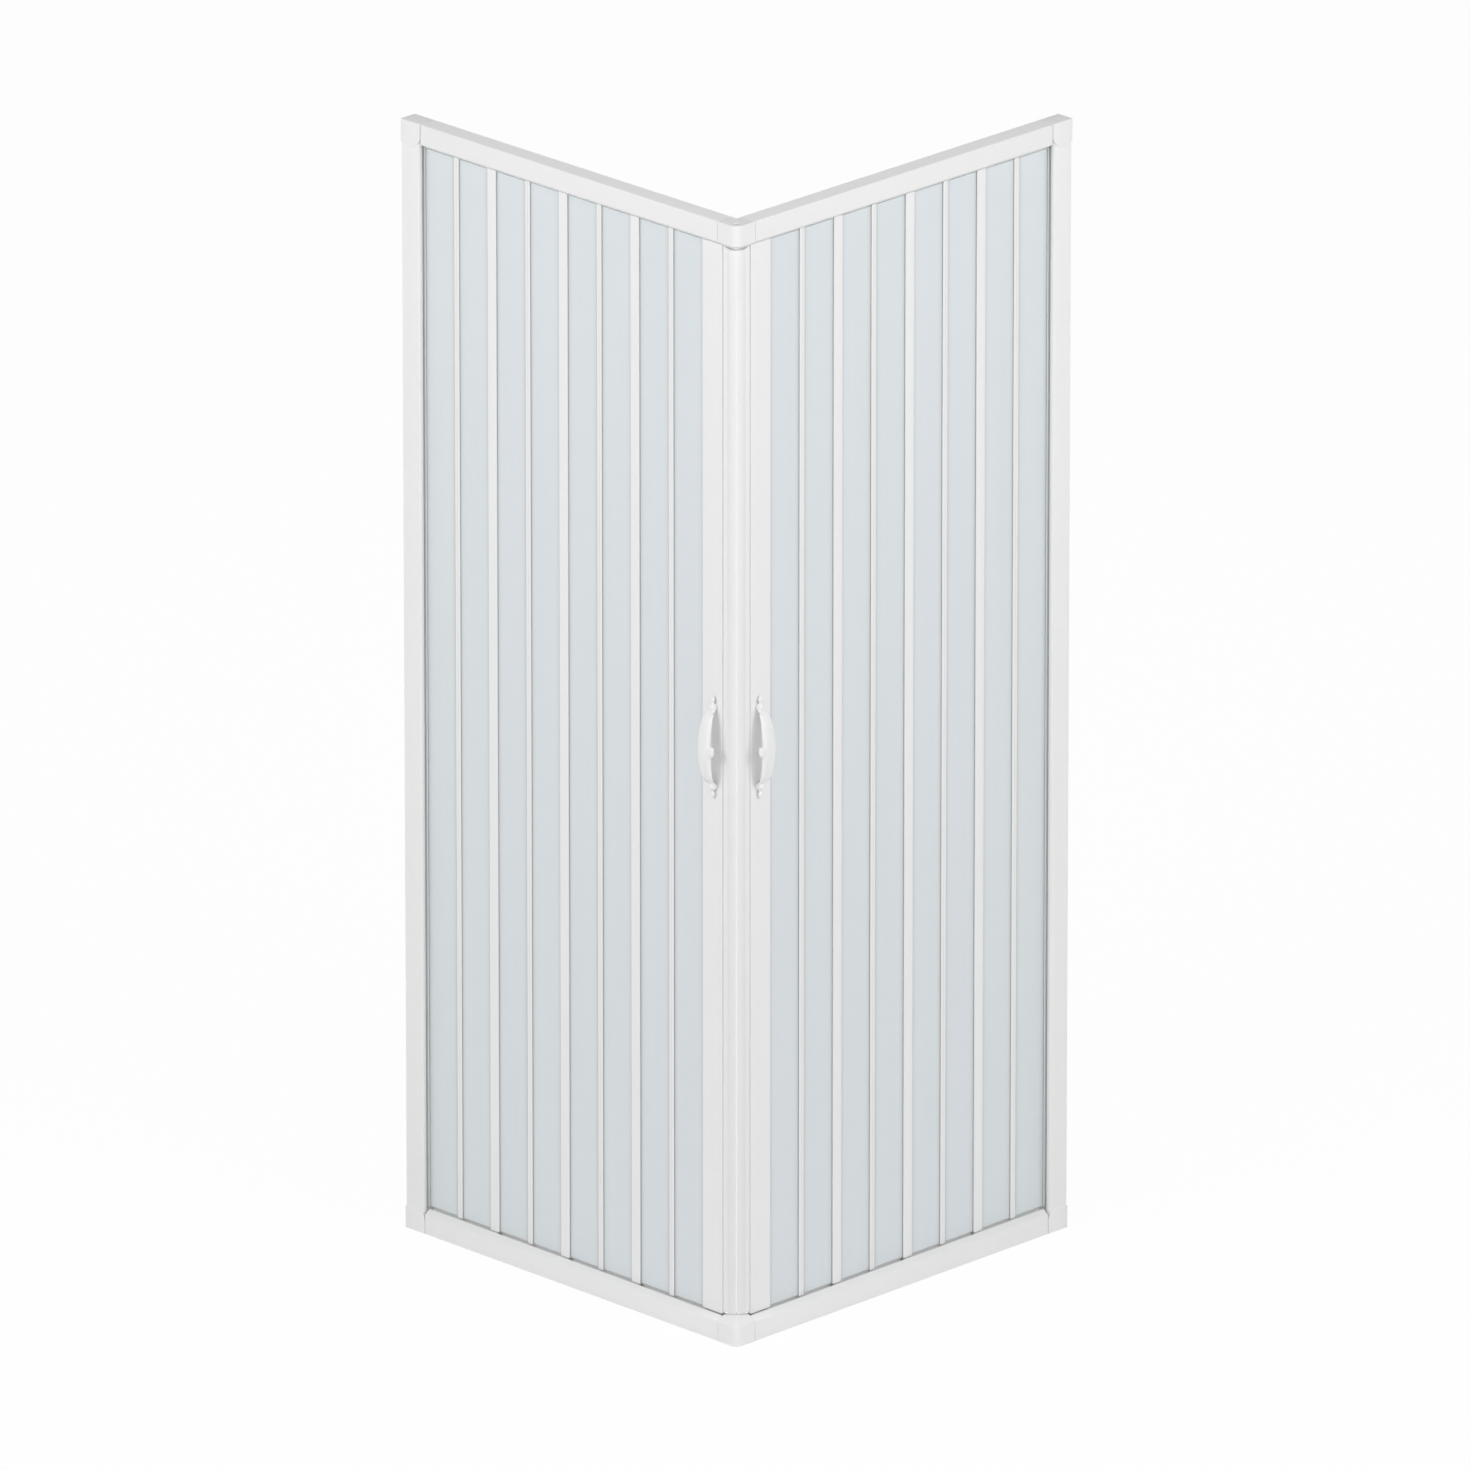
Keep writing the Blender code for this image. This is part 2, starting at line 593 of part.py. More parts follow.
def wall_hinge_outlines():
    """Section of the wall hinge strip: one socket and a tongue for the post's slot."""
    body_end = POST_BODY_START - SEAT_GAP - WALL_HINGE_AXIS
    tongue_end = POST_BODY_START + WALL_TONGUE_LENGTH - SEAT_GAP - WALL_HINGE_AXIS
    half = WALL_TONGUE_THICKNESS / 2
    tip, mouth = inner_opening()
    outer = [(-STRIP_FACE_OVERHANG, -STRIP_FACE_DEPTH), (body_end, -STRIP_FACE_DEPTH)]
    outer += [(body_end, -half), (tongue_end, -half), (tongue_end, half), (body_end, half)]
    outer += [(body_end, STRIP_BACK_DEPTH)]
    outer += socket_back((0.0, 0.0), 180.0 - tip)
    outer += arc((0.0, 0.0), SOCKET_INNER, 180.0 - tip, 180.0 - mouth, SOCKET_STEPS)
    outer += [(-STRIP_FACE_OVERHANG, -face_tip_depth())]
    return [outer]


def slat_outline():
    """Section of a slat: a thin sheet with a neck and a round bead along both edges."""
    neck_angle = math.degrees(math.asin(NECK_HALF_THICKNESS / BEAD_RADIUS))
    sheet_start = SLAT_NECK_LENGTH + SLAT_TAPER_LENGTH
    half = SLAT_THICKNESS / 2
    upper = [(-SLAT_NECK_LENGTH, NECK_HALF_THICKNESS), (-sheet_start, half)]
    upper += [(sheet_start - SLAT_PITCH, half), (SLAT_NECK_LENGTH - SLAT_PITCH, NECK_HALF_THICKNESS)]
    outline = arc((0.0, 0.0), BEAD_RADIUS, neck_angle - 180.0, 180.0 - neck_angle, BEAD_STEPS)
    outline += upper
    outline += arc((-SLAT_PITCH, 0.0), BEAD_RADIUS, neck_angle, 360.0 - neck_angle, BEAD_STEPS)
    outline += [(x, -y) for x, y in reversed(upper)]
    return outline


def leading_outlines():
    """Section of the leading profile in (t, v)."""
    axis = (LEADING_AXIS, MIDDLE)
    tip, mouth = inner_opening()
    edge = LEADING_EDGE_RADIUS
    neck_front = FACE_V + LEADING_NECK_STEP
    slot_half = SEAL_TONGUE_THICKNESS / 2 + SEAT_GAP
    slot_middle = (neck_front + LEADING_BACK) / 2
    slot_end = LEADING_START + SEAL_TONGUE_LENGTH
    socket_start = LEADING_AXIS - LEADING_SOCKET_LENGTH
    outer = arc((LEADING_FACE_START + edge, FACE_V + edge), edge, 270, 180, TIP_STEPS)
    outer += [(LEADING_FACE_START, neck_front), (LEADING_START, neck_front)]
    outer += [(LEADING_START, slot_middle - slot_half), (slot_end, slot_middle - slot_half)]
    outer += [(slot_end, slot_middle + slot_half), (LEADING_START, slot_middle + slot_half)]
    outer += [(LEADING_START, LEADING_BACK), (socket_start, LEADING_BACK)]
    outer += [(socket_start, MIDDLE + STRIP_BACK_DEPTH)]
    outer += socket_back(axis, tip)
    outer += arc(axis, SOCKET_INNER, tip, mouth, SOCKET_STEPS)
    outer += [(LEADING_EDGE, MIDDLE - face_tip_depth()), (LEADING_EDGE, FACE_V)]
    return [outer, leading_chamber()]


def leading_mesh():
    """The leading profile, its neck cut back at both ends to clear the corner joints' seats."""
    profile = upright(leading_outlines(), DOOR_BOTTOM, HEIGHT - DOOR_BOTTOM)
    low = (LEADING_START - OVERRUN, FACE_V - OVERRUN, DOOR_BOTTOM - OVERRUN)
    notch = box(low, (LEADING_FACE_START, LEADING_BACK + OVERRUN, SEAL_BOTTOM))
    return combine(profile, [notch, upside_down(notch)], "DIFFERENCE")


def leading_chamber():
    """The chamber of the leading profile, which takes the plugs of its shoes."""
    low = LEADING_FACE_START + 2 * LEADING_WALL
    high = LEADING_AXIS - LEADING_SOCKET_LENGTH - LEADING_WALL
    return rectangle(low, high, FACE_V + LEADING_WALL, LEADING_BACK - LEADING_WALL)


def magnet_outline(clearance):
    """The magnet bar's section, parallel to the meeting face, grown by a clearance."""
    across = Vector((1.0, -1.0)) / math.sqrt(2)
    length = Vector((1.0, 1.0)) / math.sqrt(2)
    apex = FACE_V + SEAL_RADIUS * (1.0 - 1.0 / math.sqrt(2))
    middle = (apex + LEADING_BACK) / 2
    depth = SEAL_MEETING_GAP / 2 + MAGNET_SKIN + BEAD_CLEARANCE + MAGNET_THICKNESS / 2
    centre = Vector((middle, middle)) + across * depth
    half_width = MAGNET_WIDTH / 2 + clearance
    half_thickness = MAGNET_THICKNESS / 2 + clearance
    corners = ((-half_width, -half_thickness), (half_width, -half_thickness),
               (half_width, half_thickness), (-half_width, half_thickness))
    return [tuple(centre + length * a + across * b) for a, b in corners]


def seal_outlines():
    """Section of a closing seal: a quarter-round nose, a slanted meeting face and a tongue."""
    centre = (FACE_V + SEAL_RADIUS, FACE_V + SEAL_RADIUS)
    offset = SEAL_MEETING_GAP / math.sqrt(2)
    end_angle = 225.0 + math.degrees(math.asin(offset / (math.sqrt(2) * SEAL_RADIUS)))
    end = LEADING_START - SEAT_GAP
    tongue_end = LEADING_START + SEAL_TONGUE_LENGTH - SEAT_GAP
    tongue_half = SEAL_TONGUE_THICKNESS / 2
    tongue_middle = (FACE_V + LEADING_NECK_STEP + LEADING_BACK) / 2
    outer = arc(centre, SEAL_RADIUS, 270.0, end_angle, SEAL_STEPS)
    outer += [(LEADING_BACK + offset, LEADING_BACK), (end, LEADING_BACK)]
    outer += [(end, tongue_middle + tongue_half), (tongue_end, tongue_middle + tongue_half)]
    outer += [(tongue_end, tongue_middle - tongue_half), (end, tongue_middle - tongue_half)]
    outer += [(end, FACE_V)]
    return [outer, magnet_outline(BEAD_CLEARANCE)]


def shoe_mesh(centre, length, neck, top):
    """A guide shoe: a rounded block in the bottom rail's groove with a neck up to its carrier."""
    half = GROOVE_WIDTH / 2 - SHOE_SIDE_CLEARANCE
    reach = length / 2 - half
    outline = arc((centre + reach, MIDDLE), half, -90, 90, SHOE_STEPS)
    outline += arc((centre - reach, MIDDLE), half, 90, 270, SHOE_STEPS)
    shoulder = RAIL_RIDGE_HEIGHT - SHOE_RIDGE_DROP
    block = upright([outline], GROOVE_FLOOR + SHOE_FLOOR_GAP, shoulder)
    return combine(block, [upright([neck], shoulder - OVERRUN, top)], "UNION")


def ball(place, radius, stretch=(1.0, 1.0, 1.0)):
    """A round form at a place, stretched along the axes."""
    work = bmesh.new()
    bmesh.ops.create_uvsphere(work, u_segments=BALL_SEGMENTS, v_segments=BALL_RINGS, radius=radius)
    bmesh.ops.scale(work, vec=stretch, verts=work.verts)
    bmesh.ops.translate(work, vec=place, verts=work.verts)
    mesh = bpy.data.meshes.new("ball")
    work.to_mesh(mesh)
    work.free()
    return mesh


def turned(outline, place, axis):
    """A round form: an outline in (radius, height), turned about an axis from a place."""
    work = bmesh.new()
    verts = [work.verts.new((radius, 0.0, height)) for radius, height in outline]
    edges = [work.edges.new(pair) for pair in zip(verts, verts[1:])]
    bmesh.ops.spin(work, geom=verts + edges, axis=(0, 0, 1), cent=(0, 0, 0), angle=2 * math.pi,
                   steps=BALL_SEGMENTS)
    turn = Vector((0, 0, 1)).rotation_difference(Vector(axis)).to_matrix()
    bmesh.ops.rotate(work, matrix=turn, verts=work.verts)
    bmesh.ops.translate(work, vec=place, verts=work.verts)
    mesh = bpy.data.meshes.new("turned")
    work.to_mesh(mesh)
    work.free()
    return tidy(mesh)


def bow_mesh(t_axis):
    """The bow of a handle: elliptic sections along half an ellipse, widest in its middle."""
    work = bmesh.new()
    rings = []
    for section in range(BOW_SECTIONS):
        turn = math.pi * section / (BOW_SECTIONS - 1)
        rise = math.sin(turn)
        z = HANDLE_HEIGHT - BOW_HALF_LENGTH * math.cos(turn)
        reach = BOW_FOOT_REACH + (BOW_REACH - BOW_FOOT_REACH) * rise
        along = Vector((0.0, -(BOW_REACH - BOW_FOOT_REACH) * math.cos(turn),
                        BOW_HALF_LENGTH * math.sin(turn))).normalized()
        if section in (0, BOW_SECTIONS - 1):
            along = Vector((0.0, 0.0, 1.0))
        outward = Vector((1.0, 0.0, 0.0)).cross(along)
        half_width = (BOW_FOOT_WIDTH + (BOW_WIDTH - BOW_FOOT_WIDTH) * rise) / 2
        half_thickness = (BOW_FOOT_THICKNESS + (BOW_THICKNESS - BOW_FOOT_THICKNESS) * rise) / 2
        centre = Vector((t_axis, FACE_V - reach, z))
        ring = []
        for side in range(BOW_SIDES):
            angle = 2 * math.pi * side / BOW_SIDES
            offset = Vector((half_width * math.cos(angle), 0.0, 0.0))
            ring.append(work.verts.new(centre + offset + outward * half_thickness * math.sin(angle)))
        rings.append(ring)
    for first, second in zip(rings, rings[1:]):
        for side in range(BOW_SIDES):
            after = (side + 1) % BOW_SIDES
            work.faces.new((first[side], first[after], second[after], second[side]))
    work.faces.new(rings[0])
    work.faces.new(rings[-1])
    mesh = bpy.data.meshes.new("bow")
    work.to_mesh(mesh)
    work.free()
    return tidy(mesh)


def finial(t_axis, foot, way):
    """A turned end beyond one foot of a handle: a neck, a ball and a slim tip."""
    low = math.degrees(math.asin(FINIAL_NECK_RADIUS / FINIAL_BALL_RADIUS)) - 90.0
    outline = [(0.0, 0.0), (FINIAL_NECK_RADIUS, 0.0)]
    outline += arc((0.0, FINIAL_BALL_FROM_FOOT), FINIAL_BALL_RADIUS, low, FINIAL_BALL_END, SHOE_STEPS)
    end = FINIAL_BALL_FROM_FOOT + FINIAL_TIP_LENGTH
    outline += [(FINIAL_TIP_RADIUS, end), (0.0, end)]
    return turned(outline, (t_axis, FACE_V - FINIAL_BALL_RADIUS - SEAT_GAP, foot), (0, 0, way))


def handle_foot(t_axis, foot):
    """A round foot with a domed front."""
    outline = [(0.0, 0.0), (FOOT_RADIUS, 0.0)]
    outline += arc((0.0, BOW_FOOT_REACH), FOOT_RADIUS, 0.0, 90.0, SHOE_STEPS)
    return turned(outline, (t_axis, FACE_V - SEAT_GAP, foot), (0, -1, 0))


def thumb_rest(t_axis):
    """A leaf-shaped rest for the thumb in the middle of the bow, cut flat at its top."""
    place = (t_axis - THUMB_REST_SHIFT, FACE_V - BOW_REACH, HANDLE_HEIGHT)
    stretch = (THUMB_REST_WIDTH / 2 / THUMB_REST_DROP, THUMB_REST_THICKNESS / 2 / THUMB_REST_DROP, 1.0)
    leaf = ball(place, THUMB_REST_DROP, stretch)
    low = [value - THUMB_REST_WIDTH for value in place]
    high = (place[0] + THUMB_REST_WIDTH, place[1] + THUMB_REST_WIDTH, place[2] + THUMB_REST_LIP)
    return combine(leaf, [box(low, high)], "INTERSECT")


def handle_mesh():
    """A moulded handle: the bow, its two round feet, their finials and the thumb rest."""
    t_axis = LEADING_EDGE - HANDLE_AXIS_FROM_EDGE
    tools = [thumb_rest(t_axis)]
    for way in (-1.0, 1.0):
        foot = HANDLE_HEIGHT + way * (BOW_HALF_LENGTH + FOOT_FROM_BOW_END)
        tools += [handle_foot(t_axis, foot), finial(t_axis, foot, way)]
    mesh = combine(bow_mesh(t_axis), tools, "UNION")
    low = (t_axis - 2 * BOW_WIDTH, FACE_V - SEAT_GAP, 0.0)
    high = (t_axis + 2 * BOW_WIDTH, FACE_V + FOOT_RADIUS, HEIGHT)
    return combine(mesh, [box(low, high)], "DIFFERENCE")


def build_joints(kit):
    """The corner joints and, on each wing, the two wall joints."""
    corner = corner_joint_mesh()
    add_piece(kit, "bottom_corner_joint", corner, kit["white"])
    add_piece(kit, "top_corner_joint", upside_down(corner), kit["white"])
    joint = wall_joint_mesh()
    for wing in kit["wings"]:
        add_piece(kit, wing + "_bottom_wall_joint", joint, kit["white"], wing)
        add_piece(kit, wing + "_top_wall_joint", upside_down(joint), kit["white"], wing)


def build_frame(kit):
    """Rails, wall posts and wall hinge strips."""
    rail = along_wing(rail_outlines(), RAIL_START, RAIL_END)
    post = post_mesh()
    hinge = upright(wall_hinge_outlines(), DOOR_BOTTOM, HEIGHT - DOOR_BOTTOM)
    hinge.transform(Matrix.Translation((WALL_HINGE_AXIS, MIDDLE, 0.0)))
    for wing in kit["wings"]:
        add_piece(kit, wing + "_bottom_rail", rail, kit["white"], wing)
        add_piece(kit, wing + "_top_rail", upside_down(rail), kit["white"], wing)
        add_piece(kit, wing + "_wall_post", post, kit["white"], wing)
        add_piece(kit, wing + "_wall_hinge_strip", hinge, kit["white"], wing)


def moved(mesh, t):
    """A mesh modelled at t = 0, moved to its place along the wing."""
    copy = mesh.copy()
    copy.transform(Matrix.Translation((t, 0.0, 0.0)))
    return copy


def build_door(kit, wing):
    """The chain of slats and strips from the wall to the leading profile, pair by pair."""
    slat = upright([slat_outline()], SLAT_BOTTOM, HEIGHT - SLAT_BOTTOM)
    slat.transform(Matrix.Translation((0.0, MIDDLE, 0.0)))
    edged_slat = edged_slat_mesh(slat)
    narrow = narrow_strip_mesh()
    wide = upright(wide_strip_outlines(), DOOR_BOTTOM, HEIGHT - DOOR_BOTTOM)
    wide.transform(Matrix.Translation((0.0, MIDDLE, 0.0)))
    axis = WALL_HINGE_AXIS
    holder = None
    for pair in range(1, NARROW_COUNT + 1):
        place = (axis, MIDDLE, 0.0)
        name = wing + "_slat_" + str(2 * pair - 1)
        holder = add_piece(kit, name, moved(slat, axis), kit["frosted"], wing, place, holder)
        axis -= SLAT_PITCH
        name = wing + "_narrow_strip_" + str(pair)
        add_piece(kit, name, moved(narrow, axis), kit["white"], wing, place, holder)
        axis -= NARROW_SPACING
        place = (axis + NARROW_SPACING / 2, MIDDLE - NARROW_FACE_DEPTH, 0.0)
        name = wing + "_slat_" + str(2 * pair)
        holder = add_piece(kit, name, moved(edged_slat, axis), kit["frosted"], wing, place, holder)
        axis -= SLAT_PITCH
        if pair > WIDE_COUNT:
            break
        place = (axis, MIDDLE, 0.0)
        name = wing + "_wide_strip_" + str(pair)
        holder = add_piece(kit, name, moved(wide, axis), kit["white"], wing, place, holder)
        axis -= WIDE_SPACING
    build_leading(kit, wing, holder)


def build_leading(kit, wing, holder):
    """The leading profile and what it carries."""
    place = (LEADING_AXIS, MIDDLE, 0.0)
    name = wing + "_leading_profile"
    holder = add_piece(kit, name, leading_mesh(), kit["white"], wing, place, holder)
    chamber = leading_chamber()
    centre = (chamber[0][0] + chamber[1][0]) / 2
    front = chamber[0][1] + SEAT_GAP
    plug = rectangle(centre - LEADING_PLUG_LENGTH / 2, centre + LEADING_PLUG_LENGTH / 2,
                     front, front + LEADING_PLUG_THICKNESS)
    shoe = shoe_mesh(centre, LEADING_SHOE_LENGTH, plug, DOOR_BOTTOM + LEADING_PLUG_HEIGHT)
    add_piece(kit, wing + "_bottom_leading_shoe", shoe, kit["grey"], wing, place, holder)
    top_shoe = upside_down(shoe)
    add_piece(kit, wing + "_top_leading_shoe", top_shoe, kit["grey"], wing, place, holder)
    seal = upright(seal_outlines(), SEAL_BOTTOM, HEIGHT - SEAL_BOTTOM)
    add_piece(kit, wing + "_closing_seal", seal, kit["soft"], wing, place, holder)
    bar_bottom = SEAL_BOTTOM + MAGNET_END_DISTANCE
    bar = upright([magnet_outline(0.0)], bar_bottom, HEIGHT - bar_bottom)
    add_piece(kit, wing + "_closing_magnet", bar, kit["dark"], wing, place, holder)
    add_piece(kit, wing + "_handle", handle_mesh(), kit["white"], wing, place, holder)


def main():
    """Build the whole enclosure."""
    clear_scene()
    kit = {
        "parts": new_collection(OBJECT_NAME),
        "places": {},
        "wings": ("right", "left"),
        "white": make_material("white_plastic", WHITE, 0.32),
        "soft": make_material("soft_white_plastic", SOFT_WHITE, 0.50),
        "frosted": make_material("frosted_plastic", FROSTED, 0.42),
        "grey": make_material("grey_plastic", GREY, 0.45),
        "dark": make_material("magnet", DARK, 0.60),
    }
    build_joints(kit)
    build_frame(kit)
    for wing in kit["wings"]:
        build_door(kit, wing)


main()
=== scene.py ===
"""Corner shower enclosure with two folding doors: the looks of every piece.

Each piece is a surface worked out with numpy in the coordinates of its wing: t runs along the wing
from the outer corner to the wall, v from the outer face into the shower, and z is the height above
the tray. It takes its place from the solid that it stands for.
"""
import json
import math

import bmesh
import bpy
import numpy as np
from bpy.props import FloatProperty, FloatVectorProperty, IntProperty, PointerProperty
from bpy.types import Operator, Panel, PropertyGroup
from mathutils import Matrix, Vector
from mathutils.geometry import tessellate_polygon


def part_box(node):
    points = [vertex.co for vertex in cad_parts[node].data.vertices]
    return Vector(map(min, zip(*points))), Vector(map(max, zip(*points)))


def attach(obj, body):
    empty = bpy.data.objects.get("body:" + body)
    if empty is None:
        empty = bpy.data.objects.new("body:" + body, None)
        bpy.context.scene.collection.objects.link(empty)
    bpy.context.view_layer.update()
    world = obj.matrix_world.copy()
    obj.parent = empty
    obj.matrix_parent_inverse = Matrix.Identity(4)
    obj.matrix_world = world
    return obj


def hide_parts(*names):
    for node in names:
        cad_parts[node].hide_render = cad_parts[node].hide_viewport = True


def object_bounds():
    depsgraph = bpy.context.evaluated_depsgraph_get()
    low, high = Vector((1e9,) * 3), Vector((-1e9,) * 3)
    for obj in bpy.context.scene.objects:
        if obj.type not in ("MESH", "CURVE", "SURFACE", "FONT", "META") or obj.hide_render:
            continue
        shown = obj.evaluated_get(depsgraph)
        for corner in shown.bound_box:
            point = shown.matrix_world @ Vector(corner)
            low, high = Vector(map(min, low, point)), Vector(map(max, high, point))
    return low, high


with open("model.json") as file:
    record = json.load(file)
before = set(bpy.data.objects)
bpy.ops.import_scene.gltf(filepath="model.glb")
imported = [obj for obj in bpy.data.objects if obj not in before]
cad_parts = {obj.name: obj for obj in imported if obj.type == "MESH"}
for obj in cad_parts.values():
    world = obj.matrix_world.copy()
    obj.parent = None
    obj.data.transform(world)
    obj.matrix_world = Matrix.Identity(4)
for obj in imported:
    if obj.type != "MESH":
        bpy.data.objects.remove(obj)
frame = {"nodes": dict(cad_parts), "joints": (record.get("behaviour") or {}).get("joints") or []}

bl_info = {
    "name": "Corner shower enclosure",
    "version": (1, 0, 0),
    "blender": (4, 5, 0),
    "location": "3D View > Sidebar > Enclosure",
    "description": "Builds the finished pieces of a corner shower enclosure with folding doors",
    "category": "Object",
}

SOLID_BOX = [list(corner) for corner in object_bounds()]
CORNER = np.array([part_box("bottom_corner_joint")[0].x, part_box("bottom_corner_joint")[0].y, 0.0])
HEIGHT = SOLID_BOX[1][2]
WINGS = ("right", "left")
HINGE_T = {joint["child"]: max(joint["pos_m"][0] - CORNER[0], joint["pos_m"][1] - CORNER[1])
           for joint in frame["joints"]}

# Depths, clearances, roundings and steps that the pieces share, angles in degrees
MIDDLE = 0.016
FACE_V = 0.0128
SEAT_GAP = 0.0003
SOFT_STEPS = 5
END_STEPS = 3
WELD_DISTANCE = 0.000002
SHARP_ANGLE = 32.0
CHAMBER_EDGE = 0.0006
MOUTH_EDGE = 0.0004
STRIP_EDGE = 0.0007

# How far the shown pieces reach past the ends of their solids
SLAT_REACH = 0.003
STRIP_REACH = 0.0007
SEAL_REACH = 0.0002

# Rails
RAIL_HALF = 0.0155
RAIL_FACE = 0.033
RAIL_RIDGE = 0.041
GROOVE_HALF = 0.0045
GROOVE_FLOOR = 0.008
RAIL_WALL = 0.002
RAIL_END_EDGE = 0.0008
SEAM = 0.0006

# Corner joints
JOINT_PROUD = 0.0005
CORNER_RADIUS = 0.013
CORNER_TONGUE = 0.012
SEAT_HEIGHT = 0.0465
SEAT_WIDTH = 0.005
SEAT_SOFTNESS = 0.0004
RECESS_FROM_CORNER = 0.0115
RECESS_RADIUS = 0.006
RECESS_DEPTH = 0.002
RECESS_PROFILE = [(1.0, 0.0), (0.975, 0.00015), (0.97, RECESS_DEPTH - 0.0003),
                  (0.92, RECESS_DEPTH)]
RECESS_SEGMENTS = 40
LONGEST_STEP = 0.0008
LEG_STEPS = 30
BEND_STEPS = 17

# Wall joints and posts
WALL_JOINT_LENGTH = 0.043
POST_NOSE = 0.005
POST_HEEL = 0.003
ARCH_RADIUS = 0.027
ARCH_FROM_WALL = 0.0175
ARCH_HEIGHT = 0.016
ARCH_STEPS = 30
POST_FLANGE = 0.0065
POST_REBATE = 0.0145
POST_WALL = 0.002
TONGUE_LENGTH = 0.006
TONGUE_HALF = 0.0015

# Slats and strips, with the beads and sockets of their hinges
BEAD_RADIUS = 0.0018
SOCKET_INNER = 0.0021
SOCKET_OUTER = 0.0029
NECK_HALF = 0.0007
NECK_LENGTH = 0.0038
NECK_TAPER = 0.0006
SLAT_HALF = 0.0013
SLAT_PITCH = 0.069
SLAT_COUNT = 8
NARROW_COUNT = SLAT_COUNT // 2
WIDE_COUNT = NARROW_COUNT - 1
NECK_ANGLE = 27.0
FOLD_ANGLE = 85.0
NARROW_SPACING = 0.0056
WIDE_SPACING = 0.014
FACE_OVERHANG = 0.0025
FACE_DEPTH = 0.0032
BACK_DEPTH = 0.0024
NARROW_DEPTH = 0.0026
SPLIT_GAP = 0.0003
# Painted shade along the slats' edges: how fast it fades, its share and how dark its colour is
SHADOW_FADE = 350.0
SHADOW_SHARE = 0.55
SHADOW_DEPTH = 0.4

# Leading profiles and closing seals
LEADING_EDGE = 0.001
LEADING_FACE = 0.0435
LEADING_NECK = 0.0105
LEADING_STEP = 0.0025
LEADING_THICKNESS = 0.0128
LEADING_SOCKET = 0.005
LEADING_WALL = 0.002
NOTCH_STEP = 0.0012
SEAL_RADIUS = 0.0186
SEAL_TONGUE_LENGTH = 0.0059
SEAL_TONGUE_HALF = 0.002
MEETING_GAP = 0.0008

# Guide shoes
SHOE_CLEARANCE = 0.0004
SHOE_BELOW_RIDGE = 0.0015
SHOE_OVERLAP = 0.001
SHOE_EDGE = 0.0008
SHOE_NECK_EDGE = 0.0002
SHOE_STEPS = 16
WIDE_SHOE_LENGTH = 0.015
WIDE_SHOE_NECK_HALF = 0.006
WIDE_SHOE_NECK_DEPTH = 0.0046
WIDE_SHOE_OVERLAP = 0.0005
LEADING_SHOE_NECK_HALF = 0.011
LEADING_SHOE_NECK_DEPTH = 0.0045

# Handles
HANDLE_FROM_EDGE = 0.027
FOOT_HALF_DISTANCE = 0.065
HANDLE_SEGMENTS = 40
HANDLE_SINK = 0.0004
BOW_STEPS = 65
BOW_FOOT_REACH = 0.005
BOW_FOOT_WIDTH = 0.012
BOW_FOOT_THICKNESS = 0.0065
BOW_POWER = 0.85
BOW_SWELL_POWER = 0.8
FINIAL_DEPTH = 0.0042
FINIAL_RISE = 0.0072
FINIAL_FLATNESS = 0.85
REST_PLACE = (-0.0085, 0.001, 0.0008)
REST_SIZE = (0.0115, 0.0050, 0.0125)
REST_POWER = 0.9
REST_CUT = 0.42
REST_RINGS = 33
REST_SEGMENTS = 48
SKIN_GRAIN = 0.0006
FILLET_FACTOR = 0.5
FILLET_ROUNDS = 6
HANDLE_SHARP_ANGLE = 60.0
FOOT_PROFILE = [(0.0, 0.0), (0.0066, 0.0), (0.0068, 0.0012), (0.0060, 0.0030), (0.0058, 0.0052),
                (0.0050, 0.0078), (0.0030, 0.0094), (0.0, 0.0099)]
FINIAL_PROFILE = [(0.0, -0.0040), (0.0028, -0.0038), (0.0034, -0.0020), (0.0026, 0.0004),
                  (0.0022, 0.0016), (0.0036, 0.0034), (0.0042, 0.0056), (0.0036, 0.0082),
                  (0.0022, 0.0106), (0.0009, 0.0130), (0.0, 0.0136)]

# Screws: radius and rise of the heads, then dome, rim and cross as shares of these
HANDLE_SCREW = (0.0035, 0.0016)
CAP_SCREW = (0.0048, 0.0014)
SCREW_LIFT = 0.0001
SCREW_SEGMENTS = 96
SCREW_SHARP_ANGLE = 40.0
DOME_RINGS = 30
DOME_RADII = (0.02, 0.94)
DOME_FOOT = 0.55
DOME_SWELL = 0.45
RIM_RADII = (0.985, 1.0, 1.0)
RIM_HEIGHTS = (0.45, 0.0)
CROSS_HALF_WIDTH = 0.11
CROSS_REACH = 0.52
CROSS_DEPTH = 0.6
CROSS_SHARPNESS = 14.0

# Stage, angles in degrees: each front lamp stands to one side of the corner's diagonal
OUTWARD_DIAGONAL = 225.0
LAMP_TURN = 54.0
LAMP_TARGET = (0.0, 0.0, 1.0)
FRONT_LAMP_SIZE = 1.6
BACK_LAMP_PLACE = (2.6, 2.6, 2.4)
BACK_LAMP_TARGET = (0.0, 0.0, 0.9)
BACK_LAMP_SHARE = 0.16
BACK_LAMP_SIZE = 2.0
CAMERA_AZIMUTH = 45.011
CAMERA_PITCH = 20.101
CAMERA_DISTANCE = 43.073
CAMERA_TARGET = (1.821, 1.825, 0.0760)
FLOOR_RADII = (60.0, 12.0, 3.0, 0.01)
FLOOR_SEGMENTS = 96
FLOOR_DROP = 0.0004
FLOOR_WHITE_SHARE = 0.97
OVERHEAD_RANGE = (0.35, 0.95)
INWARD_DIAGONAL = (math.sqrt(0.5), math.sqrt(0.5), 0.0)
WHITE = (1.0, 1.0, 1.0, 1.0)


# Panels of settings

def length(name, description, default, low, high):
    """A setting in metres."""
    return FloatProperty(name=name, description=description, default=default, min=low, max=high,
                         unit="LENGTH")


